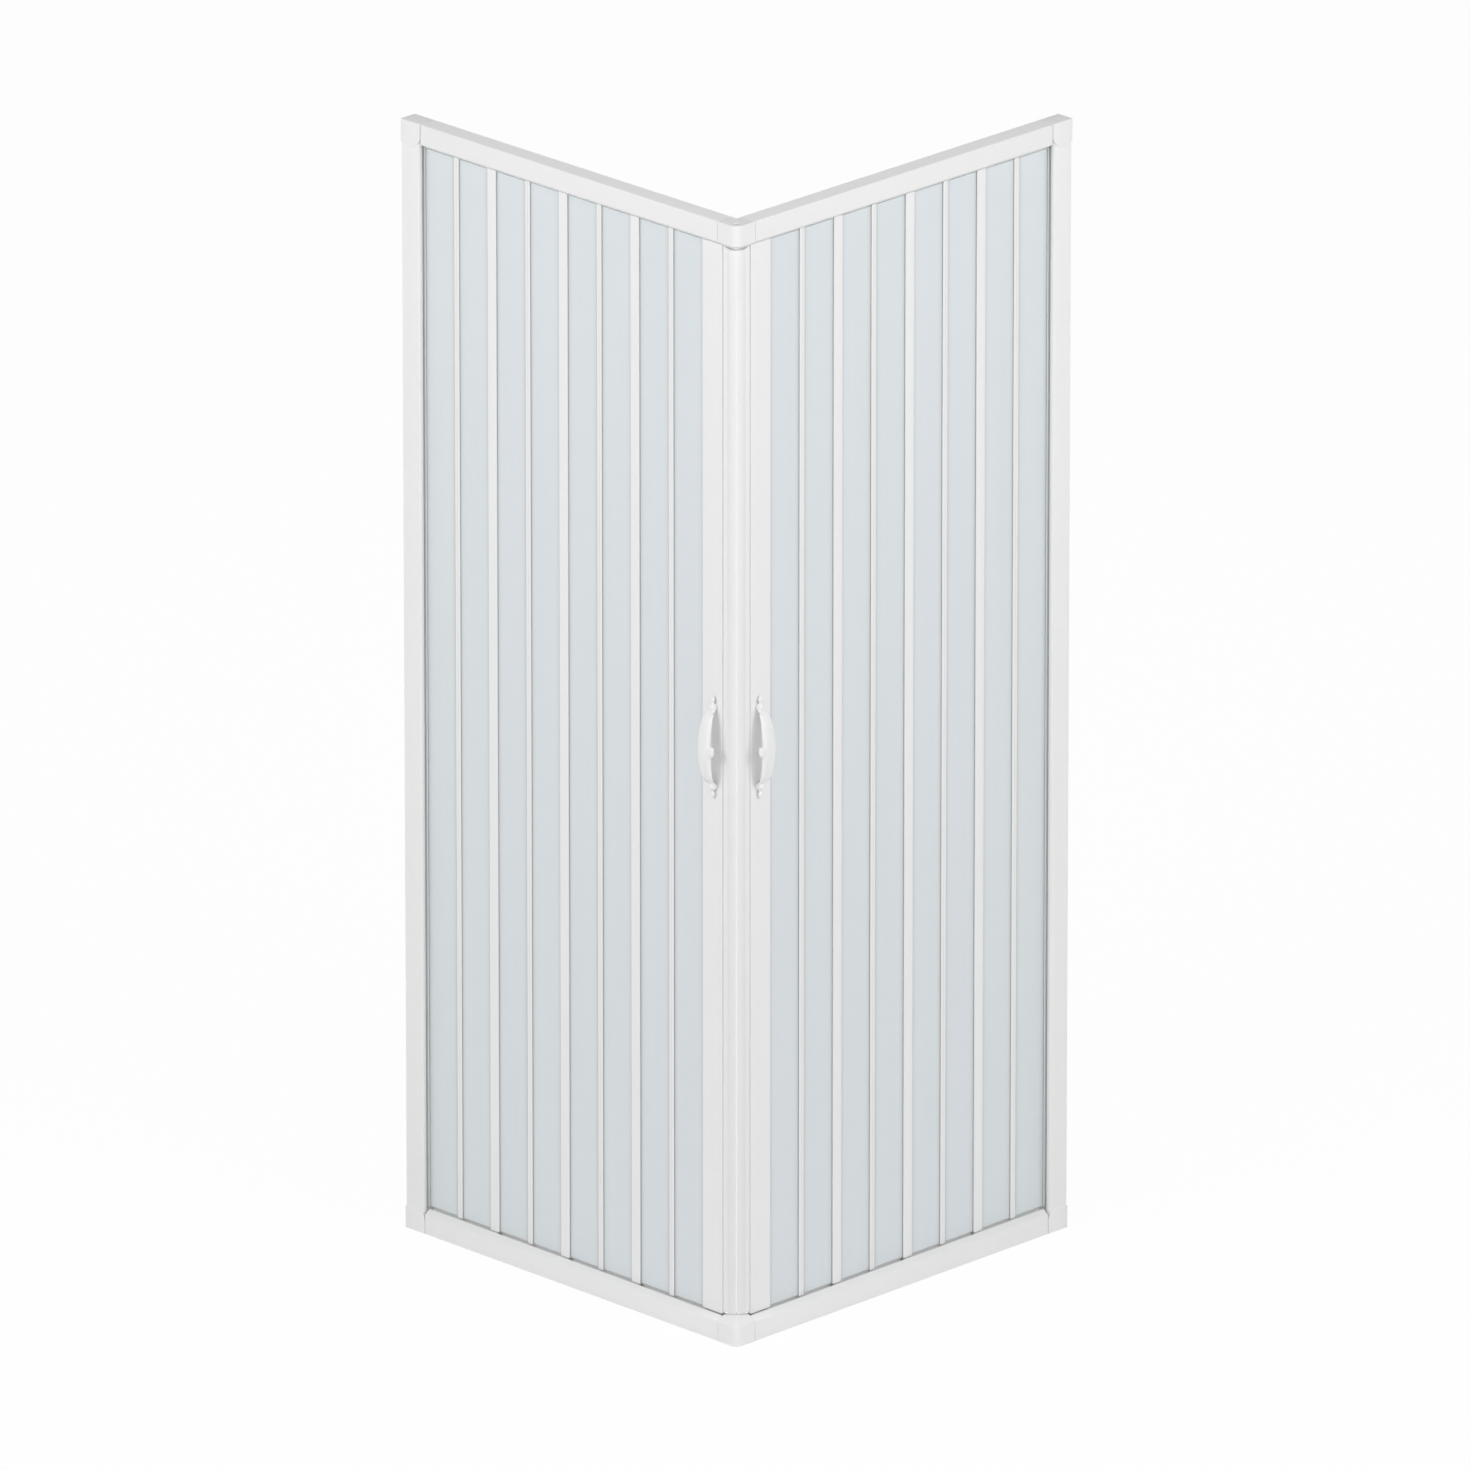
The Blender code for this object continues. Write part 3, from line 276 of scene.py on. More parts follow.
def amount(name, description, default, high=2.0):
    """A setting from zero up to a highest value."""
    return FloatProperty(name=name, description=description, default=default, min=0.0, max=high)


def colour(name, description, *default):
    """A colour setting."""
    return FloatVectorProperty(name=name, description=description, default=default, size=3,
                               subtype="COLOR", min=0.0, max=1.0)


class EnclosureForms(PropertyGroup):
    """Sizes of the finished forms."""

    rail_edge: length("Rail edge", "Rounding of the extruded rails' edges", 0.0012, 0.0001, 0.002)
    joint_edge: length("Joint edge", "Rounding of the moulded joints' edges", 0.0012, 0.0001, 0.002)
    saw_edge: length("Sawn edge", "Rounding where a profile was sawn to length", 0.00018, 0.00005,
                     0.0005)
    bow_reach: length("Bow reach", "How far the middle of a handle's bow stands from the door",
                      0.0235, 0.015, 0.03)
    bow_half_length: length("Bow half length", "Half the height of a handle's bow", 0.061, 0.04,
                            0.08)
    bow_width: length("Bow width", "Width of the bow in its middle", 0.025, 0.01, 0.03)
    bow_thickness: length("Bow thickness", "Thickness of the bow in its middle", 0.011, 0.006, 0.014)
    arc_steps: IntProperty(
        name="Arc steps", description="How finely the profiles' round forms are divided",
        default=14, min=4, max=40)


class EnclosureColours(PropertyGroup):
    """Colours of the plastics and the metal."""

    white: colour("White plastic", "Rigid white plastic of rails, posts, strips and joints",
                  0.86, 0.86, 0.857)
    soft_white: colour("Soft white", "Soft white plastic of the closing seals", 0.82, 0.82, 0.815)
    frosted: colour("Frosted panel", "Frosted plastic of the slats", 0.79, 0.84, 0.862)
    guide: colour("Guide plastic", "Grey plastic of the guide shoes", 0.55, 0.56, 0.57)
    magnet: colour("Magnet", "Dark rubber of the magnet bars", 0.09, 0.09, 0.10)
    steel: colour("Screw steel", "Zinc plating of the screws", 0.55, 0.56, 0.58)


class EnclosureStage(PropertyGroup):
    """Floor, light and camera."""

    surround: amount("Surrounding light", "Strength of the even light from all sides", 0.84)
    zenith: amount("Light from above", "Share of the even light that comes from overhead", 0.45)
    behind: amount("Light from behind", "Share of the even light that comes from behind", 0.4)
    key_power: amount("Front lamps", "Power of each of the two lamps before the wings, in watts",
                      56.0, 1000.0)
    key_distance: length("Front lamps' distance", "Distance of the front lamps from the corner",
                         3.4, 1.0, 10.0)
    key_height: length("Front lamps' height", "Height of the front lamps above the floor",
                       3.0, 0.5, 6.0)
    floor_colour: colour("Floor", "Pale floor under the enclosure", 0.9, 0.9, 0.9)
    lens: FloatProperty(
        name="Lens", description="Focal length of the camera", default=638.03,
        subtype="DISTANCE_CAMERA")


# Outlines: rows of (x, y, rounding radius)

def arc(centre, radius, start, end, steps):
    """Points at equal angles on a circle: centre + radius * (cos, sin), angles in degrees."""
    angle = np.radians(np.linspace(start, end, steps + 1))
    x = centre[0] + radius * np.cos(angle)
    y = centre[1] + radius * np.sin(angle)
    return np.stack([x, y, np.zeros_like(angle)], axis=1)


def corners(radius, *points):
    """Corner points that share one rounding radius."""
    table = np.array(points, float)
    return np.column_stack([table, np.full(len(table), radius)])


def softened(outline):
    """Each corner with a radius becomes a short curve between its two tangent points.

    The tangent points lie radius * tan(half the turn) from the corner, and the curve is
    (1-u)^2 * start + 2u(1-u) * corner + u^2 * end.
    """
    point, radius = outline[:, :2], outline[:, 2]
    back = np.roll(point, 1, axis=0) - point
    ahead = np.roll(point, -1, axis=0) - point
    back_length = np.linalg.norm(back, axis=1)
    ahead_length = np.linalg.norm(ahead, axis=1)
    back = back / back_length[:, None]
    ahead = ahead / ahead_length[:, None]
    inner = np.arccos(np.clip((back * ahead).sum(axis=1), -1.0, 1.0))
    reach = radius / np.maximum(np.tan(inner / 2), 1e-6)
    reach = np.minimum(reach, 0.45 * np.minimum(back_length, ahead_length))
    u = np.linspace(0.0, 1.0, SOFT_STEPS + 1)[None, :, None]
    start = (point + back * reach[:, None])[:, None, :]
    end = (point + ahead * reach[:, None])[:, None, :]
    curve = (1 - u) ** 2 * start + 2 * u * (1 - u) * point[:, None, :] + u ** 2 * end
    keep = (radius[:, None] > 0) | (np.arange(SOFT_STEPS + 1)[None, :] == 0)
    return curve[keep]


def turned(outline, way):
    """The outline running anticlockwise for way 1 and clockwise for way -1."""
    x, y = outline[:, 0], outline[:, 1]
    area = np.sum(x * np.roll(y, -1) - np.roll(x, -1) * y)
    return outline if area * way > 0 else outline[::-1]


def drawn_in(outline, amount):
    """The outline moved to its left by an amount, along the mitre of its neighbouring edges."""
    edge = np.roll(outline, -1, axis=0) - outline
    edge = edge / np.maximum(np.linalg.norm(edge, axis=1), 1e-9)[:, None]
    normal = np.stack([-edge[:, 1], edge[:, 0]], axis=1)
    before = np.roll(normal, 1, axis=0)
    spread = np.maximum(1.0 + (normal * before).sum(axis=1), 0.6)
    return outline + amount * (normal + before) / spread[:, None]


# Surfaces: a pair of points and faces

def grid_faces(rows, columns, closed):
    """Quads of a grid of points, whose rows run round when closed."""
    count = columns if closed else columns - 1
    first = np.arange(rows - 1)[:, None] * columns
    here = np.arange(count)[None, :]
    after = (here + 1) % columns
    quads = [first + here, first + after, first + columns + after, first + columns + here]
    return np.stack(quads, axis=-1).reshape(-1, 4).tolist()


def joined(*surfaces):
    """Several surfaces as one."""
    points, faces, start = [], [], 0
    for surface_points, surface_faces in surfaces:
        points.append(surface_points)
        faces += [[index + start for index in face] for face in surface_faces]
        start += len(surface_points)
    return np.concatenate(points), faces


def cap_faces(rings, starts):
    """Triangles that fill the first ring and leave the others open as holes."""
    loops = [[Vector((x, y, 0.0)) for x, y in ring] for ring in rings]
    index = np.concatenate([np.arange(len(ring)) + start for ring, start in zip(rings, starts)])
    return [[int(index[corner]) for corner in face] for face in tessellate_polygon(loops)]


def end_rounding(edge):
    """Rise and inset of the rings at a rounded end: edge * (1 - cos) and edge * (1 - sin)."""
    angle = np.linspace(0.0, np.pi / 2, END_STEPS + 1)
    return edge * (1 - np.cos(angle)), edge * (1 - np.sin(angle))


def extruded(outlines, low, high, edge):
    """Outlines in (x, y) carried straight up, the first solid and the others holes.

    Near both ends the rings are drawn in along a quarter circle of the given edge radius.
    """
    rise, inset = end_rounding(edge)
    level = np.concatenate([low + rise, (high - rise)[::-1]])
    inset = np.concatenate([inset, inset[::-1]])
    surfaces, first_rings, last_rings, starts, start = [], [], [], [], 0
    for number, outline in enumerate(outlines):
        outline = turned(softened(outline), 1 if number == 0 else -1)
        rings = np.stack([drawn_in(outline, amount) for amount in inset])
        heights = np.broadcast_to(level[:, None, None], rings.shape[:2] + (1,))
        points = np.concatenate([rings, heights], axis=2).reshape(-1, 3)
        surfaces.append((points, grid_faces(len(level), len(outline), True)))
        first_rings.append(rings[0])
        last_rings.append(rings[-1])
        starts.append(start)
        start += len(points)
    points, faces = joined(*surfaces)
    faces += cap_faces(first_rings, starts)
    tops = [begin + (len(level) - 1) * len(ring) for begin, ring in zip(starts, last_rings)]
    faces += cap_faces(last_rings, tops)
    return points, faces


def lying(outlines, start, end, edge):
    """A profile in (v, z) that lies along the wing."""
    points, faces = extruded(outlines, start, end, edge)
    return points[:, [2, 0, 1]], faces


def facing(outlines, low, high, edge):
    """A side profile in (t, z) that runs from one depth to another."""
    points, faces = extruded(outlines, low, high, edge)
    return points[:, [0, 2, 1]], faces


def upside_down(surface):
    """The same surface at the other end of the enclosure's height."""
    points, faces = surface
    return points * [1.0, 1.0, -1.0] + [0.0, 0.0, HEIGHT], faces


def revolved(profile, segments):
    """Rows of (radius, height) turned about the z axis: (r cos, r sin, h) of two parameters."""
    profile = np.array(profile, float)
    angle = np.linspace(0.0, 2 * np.pi, segments, endpoint=False)
    x = profile[:, :1] * np.cos(angle)
    y = profile[:, :1] * np.sin(angle)
    z = np.broadcast_to(profile[:, 1:], x.shape)
    points = np.stack([x, y, z], axis=-1).reshape(-1, 3)
    return points, grid_faces(len(profile), segments, True)


def wing_box(node):
    """Lowest and highest (t, v, z) of a solid on its own wing."""
    low, high = (np.array(corner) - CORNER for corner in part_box(node))
    if node.startswith("left"):
        low, high = low[[1, 0, 2]], high[[1, 0, 2]]
    return low, high


def make_piece(name, surface, wing, body, nodes, finish, sharp=SHARP_ANGLE):
    """Put a surface in (t, v, z) into a mesh on its wing, close it and hang it on its body."""
    points, faces = surface
    if wing == "left":
        points = points[:, [1, 0, 2]]
    mesh = bpy.data.meshes.new(name)
    mesh.from_pydata((points + CORNER).tolist(), [], faces)
    work = bmesh.new()
    work.from_mesh(mesh)
    bmesh.ops.remove_doubles(work, verts=work.verts, dist=WELD_DISTANCE)
    bmesh.ops.recalc_face_normals(work, faces=work.faces)
    work.to_mesh(mesh)
    work.free()
    mesh.shade_smooth()
    mesh.set_sharp_from_angle(angle=math.radians(sharp))
    mesh.materials.append(finish)
    piece = bpy.data.objects.new(name, mesh)
    bpy.context.scene.collection.objects.link(piece)
    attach(piece, body)
    if nodes:
        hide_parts(*nodes)
    return piece


def make_pair(names, surface, wing, body, nodes, finish, sharp=SHARP_ANGLE):
    """A piece at the bottom of the enclosure and its like, upside down, at the top."""
    make_piece(names[0], surface, wing, body, nodes[:1], finish, sharp)
    make_piece(names[1], upside_down(surface), wing, body, nodes[1:], finish, sharp)


# Finishes

class Value:
    """A shader socket that takes part in Python sums: each operator adds its Math node."""

    def __init__(self, graph, socket):
        self.graph = graph
        self.socket = socket

    def worked(self, operation, *values):
        """The result of a Math node on the given values."""
        return self.graph.add("ShaderNodeMath", {"operation": operation}, *values)

    def __add__(self, other):
        return self.worked("ADD", self, other)

    def __sub__(self, other):
        return self.worked("SUBTRACT", self, other)

    def __rsub__(self, other):
        return self.worked("SUBTRACT", other, self)

    def __mul__(self, other):
        return self.worked("MULTIPLY", self, other)


class Graph:
    """A node tree that is being put together."""

    def __init__(self, tree):
        self.tree = tree

    def add(self, kind, settings, *values, output=0):
        """A node with its settings, its values or links in the order of its sockets."""
        node = self.tree.nodes.new(kind)
        for setting, value in settings.items():
            setattr(node, setting, value)
        for socket, value in zip(node.inputs, values):
            self.give(socket, value)
        return Value(self, node.outputs[output])

    def give(self, socket, value):
        """Link a value to a socket, or set a plain number on it. None leaves it as it is."""
        if isinstance(value, Value):
            self.tree.links.new(value.socket, socket)
        elif value is not None:
            socket.default_value = value


class Finish(Graph):
    """A procedural material that is being put together round its Principled surface."""

    def __init__(self, name, constants):
        self.material = bpy.data.materials.new(name)
        self.material.use_nodes = True
        super().__init__(self.material.node_tree)
        self.surface = self.tree.nodes["Principled BSDF"]
        for socket, value in constants.items():
            self.surface.inputs[socket].default_value = value

    def place(self, scale=(1.0, 1.0, 1.0)):
        """Object coordinates, stretched by a scale along each axis."""
        coordinates = self.add("ShaderNodeTexCoord", {}, output="Object")
        return self.add("ShaderNodeMapping", {}, coordinates, None, None, scale)

    def noise(self, place, scale, detail=2.0, roughness=0.5):
        """Noise from 0 to 1 over a place."""
        return self.add("ShaderNodeTexNoise", {}, place, None, scale, detail, roughness)

    def tinted(self, factor, first, second):
        """A colour between two, by a factor."""
        node = self.tree.nodes.new("ShaderNodeMix")
        node.data_type = "RGBA"
        self.give(node.inputs[0], factor)
        self.give(node.inputs[6], first)
        self.give(node.inputs[7], second)
        return Value(self, node.outputs[2])

    def paint(self, socket, value):
        """Feed a value to a socket of the surface."""
        self.give(self.surface.inputs[socket], value)

    def relief(self, height, distance, strength=1.0):
        """Raise the surface by a height from 0 to 1 times a distance in metres."""
        bump = self.tree.nodes.new("ShaderNodeBump")
        bump.inputs["Strength"].default_value = strength
        bump.inputs["Distance"].default_value = distance
        self.give(bump.inputs["Height"], height)
        self.paint("Normal", Value(self, bump.outputs["Normal"]))


def shade(colour, factor):
    """A colour made darker or paler by a factor, with full opacity."""
    return tuple(min(1.0, channel * factor) for channel in colour) + (1.0,)


def extruded_plastic(name, colour, axis):
    """White extrusion: fine die lines along its length, a faint unevenness across them."""
    finish = Finish(name, {"IOR": 1.53, "Specular IOR Level": 0.4})
    stretch = [1.0, 1.0, 1.0]
    stretch[axis] = 0.012
    lines = finish.noise(finish.place(tuple(stretch)), 850.0, 3.0, 0.55)
    waves = finish.noise(finish.place(tuple(stretch)), 70.0, 1.0, 0.5)
    cloud = finish.noise(finish.place(), 5.0, 2.0, 0.5)
    tone = lines * 0.35 + waves * 0.3 + cloud * 0.35
    finish.paint("Base Color", finish.tinted(tone, shade(colour, 0.975), shade(colour, 1.02)))
    finish.paint("Roughness", lines * 0.10 + waves * 0.08 + 0.34)
    finish.relief(lines * 0.6 + waves * 0.4, 0.00003, 0.5)
    return finish.material


def moulded_plastic(name, colour):
    """Injection-moulded white plastic: a fine eroded grain, slightly duller than the extrusions."""
    finish = Finish(name, {"IOR": 1.53, "Specular IOR Level": 0.3})
    grain = finish.noise(finish.place(), 1900.0, 2.0, 0.6)
    flow = finish.noise(finish.place((1.0, 1.0, 0.4)), 45.0, 2.0, 0.5)
    finish.paint("Base Color", finish.tinted(grain * 0.4 + flow * 0.6, shade(colour, 0.975),
                                             shade(colour, 1.015)))
    finish.paint("Roughness", grain * 0.12 + flow * 0.08 + 0.42)
    finish.relief(grain, 0.00002, 0.6)
    return finish.material


def frosted_panel(name, colour):
    """Frosted sheet: a pebbled satin face, faint flow lines along the slat and a milky depth.

    Along both edges a soft shade is painted into the colour, darker next to the strips.
    """
    finish = Finish(name, {"IOR": 1.53, "Transmission Weight": 0.12})
    pebble = finish.noise(finish.place(), 1300.0, 2.0, 0.55)
    flow = finish.noise(finish.place((1.0, 1.0, 0.01)), 160.0, 3.0, 0.5)
    cloud = finish.noise(finish.place((1.0, 1.0, 0.15)), 14.0, 2.0, 0.5)
    tone = pebble * 0.25 + flow * 0.45 + cloud * 0.3
    body = finish.tinted(tone, shade(colour, 0.965), shade(colour, 1.03))
    # Painted shade: the sheet's colour darkens towards its edges beside the strips
    finish.paint("Base Color", finish.tinted(slat_edge_shadow(finish) * SHADOW_SHARE, body,
                                             shade(colour, SHADOW_DEPTH)))
    finish.paint("Roughness", pebble * 0.14 + flow * 0.06 + 0.40)
    finish.relief(pebble * 0.7 + flow * 0.3, 0.00008, 0.6)
    return finish.material


def slat_edge_shadow(finish):
    """The share of painted shade, which falls from 1 at the strips' edges into the slats: exp(-fade *
    distance).

    The strips repeat along the wing, so the distance comes from the place within one repeat.
    """
    place = finish.place()
    along_x = finish.add("ShaderNodeSeparateXYZ", {}, place, output=0) - float(CORNER[0])
    along_y = finish.add("ShaderNodeSeparateXYZ", {}, place, output=1) - float(CORNER[1])
    along = along_x.worked("MAXIMUM", along_x, along_y)
    repeat = 2 * SLAT_PITCH + NARROW_SPACING + WIDE_SPACING
    start = HINGE_T["right_slat_1"] + WIDE_SPACING / 2
    within = along.worked("FLOORED_MODULO", start - along, repeat)
    from_middle = within.worked("ABSOLUTE", within - repeat / 2)
    narrow_edge = NARROW_SPACING / 2 + FACE_OVERHANG
    wide_edge = (repeat - WIDE_SPACING) / 2 - FACE_OVERHANG
    distance = from_middle.worked("MINIMUM", from_middle - narrow_edge, wide_edge - from_middle)
    inside = distance.worked("MAXIMUM", distance, 0.0)
    return inside.worked("EXPONENT", inside * -SHADOW_FADE)


def soft_plastic(name, colour):
    """Soft white seal: even and satin, with faint lines along its length."""
    finish = Finish(name, {"IOR": 1.5, "Specular IOR Level": 0.2})
    lines = finish.noise(finish.place((1.0, 1.0, 0.02)), 500.0, 2.0, 0.5)
    cloud = finish.noise(finish.place(), 20.0, 2.0, 0.5)
    finish.paint("Base Color", finish.tinted(lines * 0.5 + cloud * 0.5, shade(colour, 0.97),
                                             shade(colour, 1.01)))
    finish.paint("Roughness", lines * 0.10 + 0.42)
    finish.relief(lines, 0.00003, 0.4)
    return finish.material


def guide_plastic(name, colour):
    """Grey sliding plastic: waxy, with rubbed streaks."""
    finish = Finish(name, {"IOR": 1.48})
    grain = finish.noise(finish.place(), 900.0, 3.0, 0.6)
    rub = finish.noise(finish.place((0.2, 0.2, 1.0)), 300.0, 2.0, 0.5)
    finish.paint("Base Color", finish.tinted(grain * 0.5 + rub * 0.5, shade(colour, 0.9),
                                             shade(colour, 1.08)))
    finish.paint("Roughness", rub * 0.2 + 0.32)
    finish.relief(grain, 0.00003, 0.5)
    return finish.material


def magnet_rubber(name, colour):
    """Dark magnetic rubber: dull and slightly grainy."""
    finish = Finish(name, {"IOR": 1.5})
    grain = finish.noise(finish.place(), 1200.0, 3.0, 0.6)
    finish.paint("Base Color", finish.tinted(grain, shade(colour, 0.8), shade(colour, 1.3)))
    finish.paint("Roughness", grain * 0.15 + 0.55)
    finish.relief(grain, 0.00004, 0.5)
    return finish.material


def screw_steel(name, colour):
    """Zinc-plated screw: metallic, with a fine uneven sheen."""
    finish = Finish(name, {"Metallic": 1.0})
    grain = finish.noise(finish.place(), 1500.0, 3.0, 0.6)
    cloud = finish.noise(finish.place(), 300.0, 2.0, 0.5)
    finish.paint("Base Color", finish.tinted(cloud, shade(colour, 0.85), shade(colour, 1.1)))
    finish.paint("Roughness", grain * 0.2 + 0.28)
    finish.relief(grain, 0.00001, 0.4)
    return finish.material


def finish_named(name):
    """One of the enclosure's finishes, made when it is first asked for."""
    if name in bpy.data.materials:
        return bpy.data.materials[name]
    colours = bpy.context.scene.enclosure_colours
    makers = {
        "white_extrusion_upright": lambda: extruded_plastic(name, colours.white, 2),
        "white_extrusion_right": lambda: extruded_plastic(name, colours.white, 0),
        "white_extrusion_left": lambda: extruded_plastic(name, colours.white, 1),
        "white_moulding": lambda: moulded_plastic(name, colours.white),
        "frosted_sheet": lambda: frosted_panel(name, colours.frosted),
        "soft_seal_white": lambda: soft_plastic(name, colours.soft_white),
        "grey_guide_plastic": lambda: guide_plastic(name, colours.guide),
        "magnet_rubber": lambda: magnet_rubber(name, colours.magnet),
        "zinc_plated_steel": lambda: screw_steel(name, colours.steel),
    }
    return makers[name]()


# Forms of the pieces

def rail_surface(start, end, edge):
    """A rail: its section in (v, z) carried along the wing, with two chambers and a groove."""
    low, high = MIDDLE - RAIL_HALF, MIDDLE + RAIL_HALF
    groove_low, groove_high = MIDDLE - GROOVE_HALF, MIDDLE + GROOVE_HALF
    outer = corners(edge, (low, 0.0), (high, 0.0), (high, RAIL_FACE), (groove_high, RAIL_RIDGE),
                    (groove_high, GROOVE_FLOOR), (groove_low, GROOVE_FLOOR),
                    (groove_low, RAIL_RIDGE), (low, RAIL_FACE))
    slope = (RAIL_RIDGE - RAIL_FACE) / (groove_low - low)
    inner_top = RAIL_FACE - RAIL_WALL
    ridge_top = inner_top + slope * (groove_low - low - 2 * RAIL_WALL)
    front = corners(0.0005, (low + RAIL_WALL, RAIL_WALL), (groove_low - RAIL_WALL, RAIL_WALL),
                    (groove_low - RAIL_WALL, ridge_top), (low + RAIL_WALL, inner_top))
    back = front * [-1.0, 1.0, 1.0] + [2 * MIDDLE, 0.0, 0.0]
    return lying([outer, front, back], start, end, RAIL_END_EDGE)


def smooth_high(first, second, width):
    """The higher of two values, with a soft change over about a width."""
    return (first + second + np.sqrt((first - second) ** 2 + width ** 2)) / 2


def divided(line, longest):
    """An open line of points with extra points, so that no step is longer than a length."""
    step = np.linalg.norm(np.diff(line, axis=0), axis=1)
    along = np.concatenate([[0.0], np.cumsum(step)])
    even = np.linspace(0.0, along[-1], int(along[-1] / longest) + 1)
    place = np.unique(np.round(np.concatenate([along, even]), 9))
    return np.stack([np.interp(place, along, line[:, axis]) for axis in (0, 1)], axis=1)


def corner_plan(depth, leg, stations):
    """Plan places of the L-shaped joint: station 0 to 1 on one leg, 1 to 2 round, 2 to 3 back.

    At a depth d the curve is offset inwards: on the round part it is a circle of radius R - d
    about (R, R), and past R it is the mitre at (d, d).
    """
    centre = np.maximum(CORNER_RADIUS, depth)
    radius = np.maximum(CORNER_RADIUS - depth, 0.0)
    angle = np.radians(270.0 - 90.0 * np.clip(stations - 1.0, 0.0, 1.0))
    first = np.clip(1.0 - stations, 0.0, 1.0) * (leg - centre)
    second = np.clip(stations - 2.0, 0.0, 1.0) * (leg - centre)
    t = centre + radius * np.cos(angle) + first
    v = centre + radius * np.sin(angle) + second
    return t, v


def seat_height(t, v, depth, leg, slope):
    """Height of the seat over a corner joint: the lowest of several planes, softly joined.

    They are the front shoulders carried on, the flat top, the ramps down both legs and two planes
    that close the inner side.
    """
    face = RAIL_FACE + JOINT_PROUD
    ridge = RAIL_RIDGE + JOINT_PROUD
    start = (SEAT_HEIGHT - face) / slope
    end = start + SEAT_WIDTH
    shoulder = MIDDLE - GROOVE_HALF
    fall = (SEAT_HEIGHT - ridge) / (leg - end)
    across = t + v
    inner_fall = (SEAT_HEIGHT - ridge) / (leg + 2 * MIDDLE - shoulder - 2 * end)
    planes = [SEAT_HEIGHT + 0 * across, SEAT_HEIGHT - (t - end) * fall,
              SEAT_HEIGHT - (v - end) * fall, SEAT_HEIGHT - (across - 2 * end) * inner_fall,
              ridge - (across - leg - 2 * MIDDLE + shoulder) * slope]
    height = face + depth * slope
    for plane in planes:
        height = -smooth_high(-height, -plane, SEAT_SOFTNESS)
    return height


def corner_line(edge):
    """The corner joint's section as a finely divided line of (depth, height)."""
    width = 2 * MIDDLE
    face = RAIL_FACE + JOINT_PROUD
    ridge = RAIL_RIDGE + JOINT_PROUD
    section = corners(edge, (0.0, 0.0), (width, 0.0), (width, face), (MIDDLE + GROOVE_HALF, ridge),
                      (MIDDLE - GROOVE_HALF, ridge), (0.0, face))
    return divided(np.roll(softened(section), -SOFT_STEPS - 1, axis=0), LONGEST_STEP)


def corner_sides(line, leg, edge):
    """The joint's skin as a grid: the line carried round the corner, raised and closed softly."""
    slope = (RAIL_RIDGE - RAIL_FACE) / (MIDDLE - GROOVE_HALF)
    face = RAIL_FACE + JOINT_PROUD
    leg_steps = np.linspace(0.0, 1.0, LEG_STEPS)[:-1]
    stations = np.concatenate([leg_steps, np.linspace(1.0, 2.0, BEND_STEPS), 3.0 - leg_steps[::-1]])
    t, v = corner_plan(line[None, :, 0], leg - edge * 0.5, stations[:, None])
    z = np.broadcast_to(line[None, :, 1], t.shape)
    depth = line[None, :, 0]
    plain = face + slope * np.minimum(np.minimum(depth, 2 * MIDDLE - depth), MIDDLE - GROOVE_HALF)
    raise_by = np.maximum(seat_height(t, v, depth, leg, slope) - plain, 0.0)
    raised = np.where(z > face - edge, z + raise_by, z)
    along = np.gradient(line, axis=0)
    along /= np.linalg.norm(along, axis=1)[:, None]
    normal = np.stack([-along[:, 1], along[:, 0]], axis=1)
    ends = []
    for back, inset in zip(*end_rounding(edge * 0.5)):
        inner = line + normal * inset
        ends.append(np.stack([np.full(len(line), leg - back), inner[:, 0], inner[:, 1]], axis=1))
    first = np.stack(ends)
    last = first[::-1][:, :, [1, 0, 2]]
    return np.concatenate([first[:-1], np.stack([t, v, raised], axis=-1), last[1:]])


def corner_joint_surface(leg, edge):
    """A corner joint: a rail-like section carried round the corner, raised to a seat.

    The flat end keeps a round recess for the cap screw.
    """
    grid = corner_sides(corner_line(edge), leg, edge)
    rows, columns = grid.shape[:2]
    side = grid.reshape(-1, 3), grid_faces(rows, columns, False)
    side[1].append(list(range(columns)))
    side[1].append(list(range((rows - 1) * columns, rows * columns))[::-1])
    row_starts = np.arange(rows) * columns
    rim_index = np.concatenate([row_starts, row_starts[::-1] + columns - 1])
    wall, wall_faces = revolved([(RECESS_RADIUS * share, depth) for share, depth in RECESS_PROFILE],
                                RECESS_SEGMENTS)
    wall = wall + [RECESS_FROM_CORNER, RECESS_FROM_CORNER, 0.0]
    points, faces = joined(side, (wall, wall_faces))
    faces.append(list(range(len(points) - RECESS_SEGMENTS, len(points))))
    index = np.concatenate([rim_index, np.arange(RECESS_SEGMENTS) + rows * columns])
    loops = [[Vector((x, y, 0.0)) for x, y in points[ring, :2]]
             for ring in (rim_index, index[len(rim_index):])]
    faces += [[int(index[corner]) for corner in face] for face in tessellate_polygon(loops)]
    return points, faces


def wall_joint_surface(start, end, edge):
    """A wall joint: an arched side in (t, z) that runs from the outer to the inner face."""
    centre = (end - ARCH_FROM_WALL, ARCH_HEIGHT)
    first = math.degrees(math.acos((end - centre[0]) / ARCH_RADIUS))
    last = math.degrees(math.acos((start - centre[0]) / ARCH_RADIUS))
    side = np.concatenate([corners(edge, (start, 0.0), (end, 0.0)),
                           arc(centre, ARCH_RADIUS, first, last, ARCH_STEPS)])
    return facing([side], 0.0, 2 * MIDDLE, edge)


